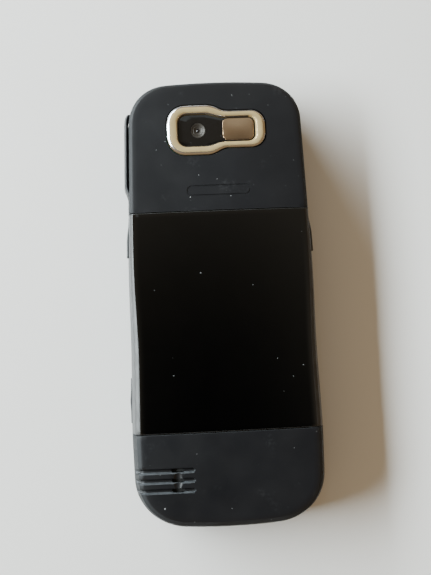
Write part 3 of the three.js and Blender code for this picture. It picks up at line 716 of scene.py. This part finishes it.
def battery_cover():
    low = BOTTOM_SEAM_Y + SEAM / 2
    high = TOP_SEAM_Y - SEAM / 2
    halves = []
    for name, side in (("battery_door", 1), ("left_half", -1)):
        columns = columns_between(low, high, side)
        halves.append(skin(name, columns, lambda i: back_profile(i, RAIL_TOP_Z + SEAM)))
    return smooth(shell(join(*halves), LID_WALL), 35)


def rear_bottom_cover():
    bottom = [i for i, p in enumerate(OUTLINE) if p.y <= BOTTOM_SEAM_Y - SEAM / 4]
    wrap = next(k for k in range(1, len(bottom)) if bottom[k] != bottom[k - 1] + 1)
    columns = bottom[wrap:] + bottom[:wrap]
    piece = skin("rear_bottom_shell", columns, lambda i: back_profile(i, COVER_SEAM_Z + SEAM / 2))
    shell(piece, WALL)
    dent_place = (sum(HOLE_X) / 2, GROOVE_FIRST_Y - GROOVE_PITCH, BACK_Z + DENT_ABOVE_BACK)
    sphere = {"u_segments": 32, "v_segments": 20, "radius": 1.0}
    cut(piece, primitive_tool(dent_place, DENT_RADII, bmesh.ops.create_uvsphere, **sphere))
    for index in range(GROOVE_COUNT):
        y = GROOVE_FIRST_Y - index * GROOVE_PITCH
        cut(piece, groove_tool(y))
        low = (HOLE_X[0], y + HOLE_Y[0], HOLE_LOW_Z)
        high = (HOLE_X[1], y + HOLE_Y[1], ABOVE_Z)
        cut(piece, box_tool(low, high, HOLE_ROUND))
    return smooth(piece, 35)


def chassis():
    """The band round the phone, with a rail along each side of the battery cover."""
    def profile(i):
        on_rail = BOTTOM_SEAM_Y + SEAM / 4 < OUTLINE[i].y < TOP_SEAM_Y - SEAM / 4
        top = RAIL_TOP_Z if on_rail else COVER_SEAM_Z - SEAM / 2
        return band_profile(i, FRONT_SEAM_Z + SEAM / 2, top)

    piece = skin("side_band", range(len(OUTLINE)), profile, closed=True)
    shell(piece, FRAME_WALL, FINE_ROUND)
    for node in ("volume_rocker", "camera_key", "release_button_left"):
        cut(piece, side_pocket(node, -1))
    cut(piece, side_pocket("release_button_right", 1))
    cut(piece, end_pocket("power_key", MM, END_REACH))
    cut_jack_mouths(piece)
    cut(piece, end_pocket("data_socket", END_REACH, 0, SOCKET_ROUND))
    return smooth(piece, 35)


def front_openings():
    """Tools for every opening of the front face, each a little larger than the piece in it."""
    outlines = {node: node_outline(node, corner, KEY_CLEARANCE) for node, corner in FRONT_CORNERS.items()}
    outlines["earpiece_mesh"] = rounded_rectangle(*EARPIECE_SLOT, EARPIECE_CORNER)
    outlines["microphone"] = circle(MICROPHONE_RADIUS, 24)
    tools = []
    for node, outline in outlines.items():
        tools.append(prism("opening", outline, *FRONT_TOOL_Z, *node_middle(node).xy))
    return tools


def front_cover():
    def profile(i):
        seam_angle = front_angle(FRONT_SEAM_Z - SEAM / 2)
        points = [front_point(i, angle) for angle in steps_between(seam_angle, math.pi / 2, BAND_STEPS)]
        return points + cap_points(points[-1], 0)

    piece = clean(skin("front_shell", range(len(OUTLINE)), profile, closed=True))
    first = piece.data.polygons[0]
    if first.normal.dot(first.center) < 0:
        piece.data.flip_normals()
    round_edges(thicken(piece, WALL), FINE_ROUND)
    for tool in front_openings():
        cut(piece, tool)
    return smooth(piece, 35)


# ------------ camera end


def camera_bezel():
    """The keyhole ring: polished outer and inner slopes with a satin land between them."""
    section = [(share, BEZEL_TOP_Z - depth * MM) for share, depth in BEZEL_SECTION]
    piece = ring_body("keyhole_bezel", keyhole(BEZEL_RIM), keyhole(BEZEL_MOUTH), section, 0, BEZEL_Y)
    return smooth(piece, 60)


def camera_window():
    """Dark keyhole window with a round clear opening over the lens."""
    piece = pad("keyhole_window", keyhole(BEZEL_MOUTH, -WINDOW_GAP), *WINDOW_Z, FINE_ROUND, y=BEZEL_Y)
    cut(piece, prism("eye", circle(LENS_RADIUS), INSIDE_Z, ABOVE_Z, LENS_X, BEZEL_Y))
    return smooth(piece, 30)


def lathe(name, profile):
    """A body turned about the lens's axis; its (radius, z) points start and end close to the axis."""
    return clean(loft(name, [level(circle(radius), z, LENS_X, BEZEL_Y) for radius, z in profile]))


def lens_barrel():
    """Stepped cone round the small front element."""
    return smooth(lathe("lens_barrel", [(radius * MM, z * MM) for radius, z in LENS_STEPS]), 45)


def lens_dome():
    base, edge, top = DOME_Z
    tip = 0.01 * MM
    profile = [(2 * tip, base), (DOME_RADIUS, base)]
    for angle in steps_between(0, math.pi / 2, 6):
        profile.append((max(DOME_RADIUS * math.cos(angle), tip), edge + (top - edge) * math.sin(angle)))
    return smooth(lathe("lens_dome", profile), 60)


def portrait_mirror():
    outline = rounded_rectangle(*MIRROR_SIZE, MIRROR_CORNER, 8, 12)
    shape = (*MIRROR_Z, MIRROR_RIM, MIRROR_CROWN)
    return smooth(pad("convex_mirror", outline, *shape, MIRROR_X, BEZEL_Y, cap_steps=16), 60)


# ------------ side keys


def side_key(name, node, side, lift, rounding):
    """A key in the casing's own skin, raised by lift(share) from its low end (0) to its high end (1)."""
    low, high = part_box(node)
    points = []
    for share in steps_between(0, 1, KEY_ROWS):
        y = low.y + (high.y - low.y) * share
        a, b = nearest_columns(y, side)[:2]
        mix = (y - OUTLINE[a].y) / (OUTLINE[b].y - OUTLINE[a].y)
        first, second = (band_profile(i, low.z, high.z, lift(share), KEY_STEPS) for i in (a, b))
        row = [p.lerp(q, mix) for p, q in zip(first, second)]
        for point in row:
            point.y = y
        points += row
    piece = clean(mesh_object(name, points, grid_faces(KEY_ROWS + 1, KEY_STEPS + 1, False)))
    if sum(face.normal.x * face.area for face in piece.data.polygons) * side < 0:
        piece.data.flip_normals()
    return smooth(round_edges(thicken(piece, KEY_WALL), rounding, 3), 60)


def rocker_lift(share):
    rise = smoothstep(0, 0.16, share)
    fall = smoothstep(1.0, 0.965, share)
    return 0.95 * MM * rise * (0.25 + 0.75 * fall)


def release_lift(share):
    return 0.45 * MM * smoothstep(1.0, 0.45, share)


def shutter_lift(share):
    return (0.22 + 0.16 * math.exp(-((share - 0.5) / 0.16) ** 2)) * MM


# ------------ front


def node_middle(node):
    low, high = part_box(node)
    return (low + high) / 2


def node_outline(node, corner, grow=0.0, steps=8):
    """The plan of a node's box with round corners, about its middle."""
    low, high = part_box(node)
    return rounded_rectangle(high.x - low.x + 2 * grow, high.y - low.y + 2 * grow, corner + grow, steps)


def front_pad(name, node, corner, back, rounding, crown):
    """A cap over a node's plan, with its face where the node's face is."""
    outline = node_outline(node, corner)
    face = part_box(node)[0].z
    return smooth(pad(name, outline, back, face, rounding, crown, *node_middle(node).xy), 60)


def key_cap(node, corner):
    return front_pad(node + "_cap", node, corner, CAP_BACK_Z, CAP_ROUND, CAP_CROWN)


def display_window():
    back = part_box("display_window")[1].z
    return front_pad("window_pane", "display_window", DISPLAY_CORNER, back, 0.12 * MM, 0.0)


def navigation_ring():
    outer = node_outline("navigation_ring", RING_CORNER, steps=10)
    inner = rounded_rectangle(RING_OPENING, RING_OPENING, RING_OPENING_CORNER, 10)
    section = [(share, z * MM) for share, z in RING_SECTION]
    return smooth(ring_body("rocker_ring", outer, inner, section, *node_middle("navigation_ring").xy), 60)


def printed(name, node, outline, depth, shift_y=0.0):
    """A thin flat shape on the face of a node, sunk this far into it."""
    middle = node_middle(node)
    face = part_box(node)[0].z
    return prism(name, outline, face - 0.01 * MM, face + depth, middle.x, middle.y + shift_y)


def screen_area():
    """The sleeping screen, just visible through the pane."""
    outline = rounded_rectangle(*SCREEN_SIZE, 0.3 * MM, 3)
    return printed("screen_area", "display_window", outline, 0.02 * MM, -SCREEN_DROP)


def key_bar(node, width, height):
    """A bar printed on a function key."""
    outline = rounded_rectangle(width, height, height / 2 - 0.01 * MM, 5)
    return printed(node + "_bar", node, outline, 0.05 * MM)


def legend(text, node):
    """A printed character on a key, facing out of the front."""
    curve = bpy.data.curves.new("legend", "FONT")
    curve.body = text
    curve.size = LEGEND_SIZE
    curve.extrude = INK
    curve.align_x = "CENTER"
    curve.align_y = "CENTER"
    curve.resolution_u = 3
    source = add_object("legend", curve)
    mesh = bpy.data.meshes.new_from_object(source.evaluated_get(bpy.context.evaluated_depsgraph_get()))
    bpy.data.objects.remove(source)
    middle = node_middle(node)
    place = Matrix.Translation((middle.x, middle.y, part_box(node)[0].z + INK / 3))
    mesh.transform(place @ Matrix.Rotation(math.pi, 4, "Y"))
    return add_object(node + "_legend", mesh)


# ------------ materials

DUST = (0.55, 0.58, 0.6)
DARK_DUST = (0.35, 0.32, 0.28)
RUBBED = (0.2, 0.21, 0.22)


def opaque(colour):
    return tuple(colour) + (1.0,)


class Nodes:
    """A node tree, built a node at a time from its inputs and its settings."""

    def __init__(self, tree):
        self.tree = tree

    def feed(self, socket, value):
        """Link a socket to the output of another node, or set it to a plain value."""
        if isinstance(value, bpy.types.NodeSocket):
            self.tree.links.new(value, socket)
        else:
            socket.default_value = value

    def add(self, kind, inputs, **settings):
        """A new shader node; inputs go by name, or by number where names repeat."""
        node = self.tree.nodes.new("ShaderNode" + kind)
        for key, value in settings.items():
            setattr(node, key, value)
        for key, value in inputs.items():
            self.feed(node.inputs[key], value)
        return node

    def ramp(self, source, low, high, to_low=0.0, to_high=1.0):
        inputs = {"Value": source, "From Min": low, "From Max": high, "To Min": to_low, "To Max": to_high}
        return self.add("MapRange", inputs).outputs["Result"]

    def mix(self, factor, first, second):
        inputs = {"Factor": factor, "A": first, "B": second}
        return self.add("Mix", inputs, data_type="RGBA").outputs["Result"]

    def maths(self, operation, first, second):
        return self.add("Math", {0: first, 1: second}, operation=operation).outputs["Value"]

    def vectors(self, operation, inputs, output="Vector"):
        return self.add("VectorMath", inputs, operation=operation).outputs[output]


class Surface(Nodes):
    """A procedural material: one Principled shader fed by textures in the piece's own coordinates."""

    def __init__(self, name, colour, roughness, metallic=0.0):
        self.material = bpy.data.materials.new(name)
        self.material.use_nodes = True
        super().__init__(self.material.node_tree)
        self.place = self.add("TexCoord", {}).outputs["Object"]
        self.colour = opaque(colour)
        self.roughness = roughness
        self.set("Roughness", roughness)
        self.set("Metallic", metallic)

    def set(self, name, value):
        """Set or link an input of the shader."""
        self.feed(self.tree.nodes["Principled BSDF"].inputs[name], value)
        return self

    def stretched(self, place, stretch):
        return self.add("Mapping", {"Vector": place, "Scale": stretch}).outputs["Vector"]

    def noise(self, scale, detail=3.0, stretch=None):
        place = self.stretched(self.place, stretch) if stretch else self.place
        return self.add("TexNoise", {"Vector": place, "Scale": scale, "Detail": detail}).outputs["Fac"]

    def mottle(self, scale, amount):
        """Uneven colour: the base colour made darker and lighter by a noise."""
        dark, light = ([min(c * gain, 1) for c in self.colour[:3]] for gain in (1 - amount, 1 + amount))
        self.colour = self.mix(self.ramp(self.noise(scale, 4.0), 0.3, 0.7), opaque(dark), opaque(light))
        return self

    def paint(self, mask, strength, colour):
        """Lay a colour over the surface where the mask is high."""
        self.colour = self.mix(self.maths("MULTIPLY", mask, strength), self.colour, opaque(colour))
        return self

    def specks(self, scale, radius, share, strength, colour=DUST, stretch=(1.0, 1.0, 1.0)):
        """Dust or short scratches: a few cells of a Voronoi pattern hold a small speck."""
        drift = self.add("TexNoise", {"Vector": self.place, "Scale": scale * 1.7}).outputs["Color"]
        small = self.vectors("SCALE", {0: drift, "Scale": 0.35 / scale})
        warped = self.vectors("ADD", {0: self.place, 1: small})
        cells = self.add("TexVoronoi", {"Vector": self.stretched(warped, stretch), "Scale": scale})
        chance = self.add("SeparateColor", {"Color": cells.outputs["Color"]}).outputs["Red"]
        chosen = self.ramp(chance, 1 - share, 1 - share * 0.5)
        dot = self.ramp(cells.outputs["Distance"], radius, radius * 0.4)
        return self.paint(self.maths("MULTIPLY", chosen, dot), strength, colour)

    def scuffs(self, scale, threshold, strength):
        """Pale rubbed patches, broken up by a finer noise."""
        broad = self.ramp(self.noise(scale, 2.0), threshold, threshold + 0.12)
        fine = self.ramp(self.noise(scale * 9, 6.0), 0.45, 0.65)
        return self.paint(self.maths("MULTIPLY", broad, fine), strength, RUBBED)

    def edge_wear(self, strength):
        """Rubbed shoulders: wear where the surface leans between flat and upright."""
        normal = self.add("NewGeometry", {}).outputs["Normal"]
        up = self.add("SeparateXYZ", {"Vector": normal}).outputs["Z"]
        leaning = self.maths("MULTIPLY", self.ramp(up, 0.95, 0.5), self.ramp(up, 0.02, 0.3))
        patches = self.ramp(self.noise(700, 5.0), 0.48, 0.68)
        return self.paint(self.maths("MULTIPLY", leaning, patches), strength, RUBBED)

    def grain(self, scale, height, stretch=None):
        """Fine surface texture as a bump."""
        inputs = {"Strength": 1.0, "Distance": height, "Height": self.noise(scale, 2.0, stretch)}
        return self.set("Normal", self.add("Bump", inputs).outputs["Normal"])

    def uneven(self, scale, spread, detail=3.0):
        """Roughness that wanders about its own value."""
        ends = (self.roughness - spread, self.roughness + spread)
        return self.set("Roughness", self.ramp(self.noise(scale, detail), 0.3, 0.7, *ends))

    def coat(self, weight, roughness):
        return self.set("Coat Weight", weight).set("Coat Roughness", roughness)

    def shine(self, amount):
        """How strongly the bare surface reflects; 0.5 is an ordinary plastic."""
        return self.set("Specular IOR Level", amount)

    def done(self):
        self.set("Base Color", self.colour)
        return self.material


PAINT_GRAIN = (5200, 0.01 * MM)
MATERIALS = {}


def material(colour, roughness, metallic=0.0):
    """Build a material from a function that works its surface, under that function's name."""
    def build(work):
        surface = Surface(work.__name__, colour, roughness, metallic)
        work(surface)
        MATERIALS[work.__name__] = surface.done()
        return work
    return build


@material((0.0032, 0.0038, 0.0055), 0.44)
def soft_touch(surface):
    """Rubbery graphite paint, handled and dusty."""
    surface.shine(0.4).mottle(45, 0.2).scuffs(160, 0.62, 0.05)
    surface.specks(260, 0.065, 0.06, 0.6).specks(900, 0.15, 0.09, 0.38)
    surface.specks(420, 0.08, 0.05, 0.25, stretch=(1.0, 0.35, 1.0))
    surface.uneven(120, 0.04).grain(*PAINT_GRAIN)


@material((0.010, 0.0112, 0.013), 0.6)
def worn_paint(surface):
    """The same paint on the sides and shoulders, where hands have rubbed it dull."""
    surface.shine(0.28).mottle(160, 0.25).edge_wear(0.06).specks(420, 0.08, 0.05, 0.3)
    surface.uneven(160, 0.05).grain(*PAINT_GRAIN)


# Painted highlight: a paler copy of the cover paint for the groove walls that face the lights.
@material((0.045, 0.05, 0.056), 0.5)
def painted_groove_highlight(surface):
    """The same paint made much paler on the lower lips of the grooves, which face the lights: a painted
    highlight.
    """
    surface.mottle(900, 0.35).uneven(400, 0.06).grain(*PAINT_GRAIN)


@material((0.045, 0.047, 0.05), 0.42)
def side_band(surface):
    surface.mottle(90, 0.12).edge_wear(0.1).uneven(200, 0.05)
    surface.grain(4200, 0.008 * MM)


@material((0.0007, 0.0007, 0.0007), 0.11)
def gloss_black(surface):
    """Piano black lacquer with settled dust and faint wiping marks."""
    surface.mottle(30, 0.2).specks(210, 0.09, 0.045, 0.5).specks(800, 0.15, 0.02, 0.25)
    surface.uneven(160, 0.025, 5.0).coat(0.2, 0.05)


@material((0.017, 0.0175, 0.018), 0.43)
def worn_lacquer(surface):
    """The lacquer along the shoulders of the battery cover, rubbed satin by the hand."""
    surface.mottle(400, 0.3).uneven(300, 0.05, 5.0)


@material((0.53, 0.41, 0.205), 0.36, 0.5)
def champagne_metal(surface):
    surface.mottle(400, 0.06).uneven(900, 0.06)
    surface.grain(7000, 0.004 * MM, (1.0, 6.0, 1.0))


@material((0.52, 0.53, 0.55), 0.18, 0.95)
def polished_champagne(surface):
    """The same metal where its edges are cut bright."""
    surface.mottle(400, 0.04).uneven(900, 0.04)


@material((0.003, 0.0027, 0.0027), 0.06)
def camera_glass(surface):
    surface.mottle(300, 0.2).specks(1500, 0.12, 0.03, 0.3).uneven(500, 0.02)
    surface.coat(0.3, 0.03)


@material((0.036, 0.032, 0.027), 0.5, 0.4)
def lens_metal(surface):
    surface.mottle(1500, 0.12).uneven(2500, 0.06)


@material((0.006, 0.005, 0.009), 0.04)
def lens_glass(surface):
    surface.mottle(900, 0.3).uneven(600, 0.01).coat(1.0, 0.02)


@material((0.36, 0.25, 0.155), 0.2, 0.95)
def bronze_mirror(surface):
    surface.mottle(120, 0.05).uneven(300, 0.04)


@material((0.006, 0.006, 0.007), 0.07)
def display_glass(surface):
    surface.mottle(60, 0.2).specks(400, 0.1, 0.03, 0.3).uneven(150, 0.02)
    surface.coat(0.5, 0.03)


@material((0.012, 0.014, 0.018), 0.1)
def sleeping_screen(surface):
    surface.mottle(40, 0.15).uneven(150, 0.02)


@material((0.016, 0.017, 0.019), 0.38)
def key_plastic(surface):
    surface.mottle(150, 0.12).uneven(300, 0.05).grain(5000, 0.006 * MM)


@material((0.42, 0.37, 0.28), 0.3, 0.8)
def key_metal(surface):
    surface.mottle(500, 0.06).uneven(900, 0.05)
    surface.grain(6000, 0.004 * MM, (6.0, 1.0, 1.0))


@material((0.26, 0.28, 0.3), 0.6)
def mat_rubber(surface):
    surface.mottle(120, 0.1).grain(3000, 0.01 * MM)


@material((0.008, 0.008, 0.009), 0.45)
def black_plastic(surface):
    surface.mottle(200, 0.2).uneven(300, 0.06).grain(3500, 0.008 * MM)


@material((0.008, 0.07, 0.032), 0.35)
def circuit_board(surface):
    surface.mottle(300, 0.25).specks(900, 0.3, 0.3, 0.9, (0.6, 0.45, 0.15))
    surface.uneven(300, 0.05)


@material((0.5, 0.51, 0.52), 0.3, 1.0)
def spring_steel(surface):
    surface.mottle(300, 0.08).uneven(600, 0.08)
    surface.grain(4000, 0.006 * MM, (1.0, 8.0, 1.0))


@material((0.72, 0.5, 0.18), 0.25, 1.0)
def gold_contact(surface):
    surface.mottle(400, 0.06).uneven(700, 0.05)


@material((0.14, 0.15, 0.16), 0.4)
def battery_wrap(surface):
    surface.mottle(100, 0.1).uneven(200, 0.06).grain(2500, 0.01 * MM)


@material((0.62, 0.6, 0.54), 0.45)
def card_plastic(surface):
    surface.mottle(200, 0.06).uneven(300, 0.05)


@material((0.02, 0.02, 0.02), 0.8)
def acoustic_mesh(surface):
    """Fine woven mesh: two crossed waves give threads and gaps."""
    weave = []
    for direction in ("X", "Y"):
        wave = surface.add("TexWave", {"Vector": surface.place, "Scale": 900}, bands_direction=direction)
        weave.append(wave.outputs["Fac"])
    surface.paint(*weave, (0.0, 0.0, 0.0)).grain(2500, 0.02 * MM)


INKS = {"pale_ink": (0.6, 0.62, 0.62), "green_ink": (0.03, 0.36, 0.08), "red_ink": (0.5, 0.03, 0.02)}
for ink, ink_colour in INKS.items():
    MATERIALS[ink] = Surface(ink, ink_colour, 0.5).mottle(900, 0.08).uneven(900, 0.05).done()

# ------------ build the pieces

NODE_SLOT = {row["node"]: row["material_slot"] for row in frame["record"]["subparts"]}
BODIES = frame["record"]["behaviour"]["bodies"]
BODY_OF = {node: body for body, nodes in BODIES.items() for node in nodes}


def finish_piece(piece, node, look=None, stands_for=True):
    """Give a piece its material, ride it on its node's body and let it stand for the node."""
    piece.data.materials.clear()
    piece.data.materials.append(MATERIALS[look or NODE_SLOT[node]])
    modify(piece, "WEIGHTED_NORMAL", keep_sharp=True, weight=60)
    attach(piece, BODY_OF[node])
    if stands_for:
        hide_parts(node)
    return piece


def print_on(piece, node, ink):
    """Finish a flat piece that lies on the one that stands for its node."""
    finish_piece(piece, node, ink, stands_for=False)


def add_material(piece, look, chosen):
    """Give another material to the faces for which chosen(face) is true."""
    piece.data.materials.append(MATERIALS[look])
    for face in piece.data.polygons:
        if chosen(face):
            face.material_index = len(piece.data.materials) - 1


def is_sloping(face):
    return 0.1 < face.normal.z < 0.93


def is_cut_bright(face):
    """The bezel's sloping edges, but not the inner one at its right end."""
    return is_sloping(face) and not (face.center.x > BEZEL_END_X and face.normal.x < 0)


def in_grooves(face):
    return GROOVE_ZONE_Y[0] < face.center.y < GROOVE_ZONE_Y[1] and face.center.x < GROOVE_ZONE_X


def is_worn_side(face):
    """The side and shoulder of a cover, clear of the grooves' inner ends."""
    return is_sloping(face) and not (in_grooves(face) and face.center.x > WORN_GROOVE_X)


def is_groove_lip(face):
    """The lower wall of a groove, which faces the lights (+Y) and gets a painted highlight."""
    return in_grooves(face) and face.normal.y > 0.3 and face.normal.z > 0.3


def build_casing():
    top = finish_piece(rear_top_cover(), "rear_top_cover")
    add_material(top, "worn_paint", is_worn_side)
    door = finish_piece(battery_cover(), "battery_cover")
    add_material(door, "worn_lacquer", is_sloping)
    bottom = finish_piece(rear_bottom_cover(), "rear_bottom_cover")
    add_material(bottom, "worn_paint", is_worn_side)
    # painted highlight on the groove walls that face +Y, towards the lights
    add_material(bottom, "painted_groove_highlight", is_groove_lip)
    finish_piece(chassis(), "chassis")
    finish_piece(front_cover(), "front_cover")


def build_camera():
    bezel = finish_piece(camera_bezel(), "camera_bezel")
    add_material(bezel, "polished_champagne", is_cut_bright)
    finish_piece(camera_window(), "camera_window")
    finish_piece(portrait_mirror(), "portrait_mirror")
    finish_piece(lens_barrel(), "camera_lens", "lens_metal")
    finish_piece(lens_dome(), "camera_lens")


def build_side_keys():
    finish_piece(side_key("volume_bar", "volume_rocker", -1, rocker_lift, ROCKER_ROUND), "volume_rocker")
    finish_piece(side_key("shutter_bar", "camera_key", -1, shutter_lift, SIDE_KEY_ROUND), "camera_key")
    for side, node in ((-1, "release_button_left"), (1, "release_button_right")):
        finish_piece(side_key(node + "_grip", node, side, release_lift, SIDE_KEY_ROUND), node)


def build_front():
    for label in NUMBER_KEYS:
        node = f"key_{label}"
        finish_piece(key_cap(node, NUMBER_CORNER), node)
        print_on(legend(LEGENDS.get(label, label), node), node, "pale_ink")
    for node in FUNCTION_KEYS:
        finish_piece(key_cap(node, FUNCTION_CORNER), node)
    print_on(key_bar("call_key", *COLOUR_BAR), "call_key", "green_ink")
    print_on(key_bar("end_key", *COLOUR_BAR), "end_key", "red_ink")
    for node in ("soft_key_left", "soft_key_right"):
        print_on(key_bar(node, *PALE_BAR), node, "pale_ink")
    finish_piece(navigation_ring(), "navigation_ring")
    finish_piece(key_cap("select_key", SELECT_CORNER), "select_key")
    finish_piece(display_window(), "display_window")
    print_on(screen_area(), "display_window", "sleeping_screen")


def dress_cad_nodes():
    """The nodes that stay as they come from the frame get their procedural material."""
    for node, piece in frame["nodes"].items():
        piece.data.materials.clear()
        piece.data.materials.append(MATERIALS[NODE_SLOT[node]])


# ------------ stage, light and camera

SENSOR_HEIGHT = 24.0            # millimetres, as is the lens
LENS_LENGTH = 31.85
CAMERA_PLACE = Vector((-9.2, -7.65, 196.9)) * MM
CAMERA_TARGET = Vector((-1.43, 3.91, 5.0)) * MM
CAMERA_ROLL = 0.045
FLOOR_HALF = 1.5
ROOM_LOW = (0.46, 0.285, 0.12)
ROOM_OVERHEAD = (0.34, 0.30, 0.235)
DARK_AXIS = Vector((0.0, -0.24, 1.0)).normalized()


def make_camera():
    data = bpy.data.cameras.new("camera")
    data.sensor_fit = "VERTICAL"
    data.sensor_height = SENSOR_HEIGHT
    data.lens = LENS_LENGTH
    data.clip_start = 0.005
    camera = add_object("camera", data)
    backward = (CAMERA_PLACE - CAMERA_TARGET).normalized()
    image_up = Vector((math.sin(CAMERA_ROLL), math.cos(CAMERA_ROLL), 0))
    right = image_up.cross(backward).normalized()
    up = backward.cross(right)
    turn = Matrix((right, up, backward)).transposed().to_4x4()
    camera.matrix_world = Matrix.Translation(CAMERA_PLACE) @ turn
    bpy.context.scene.camera = camera


def area_light(name, place, target, size, watts, colour):
    data = bpy.data.lights.new(name, "AREA")
    data.shape = "RECTANGLE"
    data.size, data.size_y = size
    data.energy = watts
    data.color = colour
    light = add_object(name, data)
    light.location = place
    light.rotation_euler = (Vector(target) - Vector(place)).to_track_quat("-Z", "Y").to_euler()


def make_lights():
    """A long low window that runs past the phone on its left, and a weak patch of ceiling."""
    area_light("window", place=(-0.86, 0.8, 0.49), target=(0, 0.8, 0), size=(2.0, 0.24), watts=82.0,
               colour=(0.9, 1.0, 1.03))
    area_light("ceiling", place=(0, 0.5, 0.866), target=(0, 0, 0), size=(0.5, 0.4), watts=0.4,
               colour=(0.85, 1.0, 1.05))


def make_world():
    """A dim warm room that is darkest overhead, a little towards the phone's lower end."""
    world = bpy.data.worlds.new("room")
    world.use_nodes = True
    nodes = Nodes(world.node_tree)
    direction = nodes.add("TexCoord", {}).outputs["Generated"]
    up = nodes.add("SeparateXYZ", {"Vector": direction}).outputs["Z"]
    colour = nodes.mix(nodes.ramp(up, 0.5, 0.95), opaque(ROOM_LOW), opaque(ROOM_OVERHEAD))
    nearness = nodes.vectors("DOT_PRODUCT", {0: direction, 1: DARK_AXIS}, "Value")
    strength = nodes.maths("POWER", nodes.ramp(nearness, 0.9995, 0.9), 1.5)
    background = world.node_tree.nodes["Background"]
    nodes.feed(background.inputs["Color"], colour)
    nodes.feed(background.inputs["Strength"], strength)
    bpy.context.scene.world = world


def make_floor():
    corners = [(x * FLOOR_HALF, y * FLOOR_HALF, 0) for x, y in ((-1, -1), (1, -1), (1, 1), (-1, 1))]
    floor = mesh_object("table_top", corners, [(0, 1, 2, 3)])
    surface = Surface("table_paint", (0.82, 0.815, 0.8), 0.5)
    surface.mottle(14, 0.012).specks(24, 0.011, 0.35, 0.5, DARK_DUST)
    floor.data.materials.append(surface.uneven(40, 0.05).done())


dress_cad_nodes()
build_casing()
build_camera()
build_side_keys()
build_front()
make_floor()
make_lights()
make_world()
make_camera()
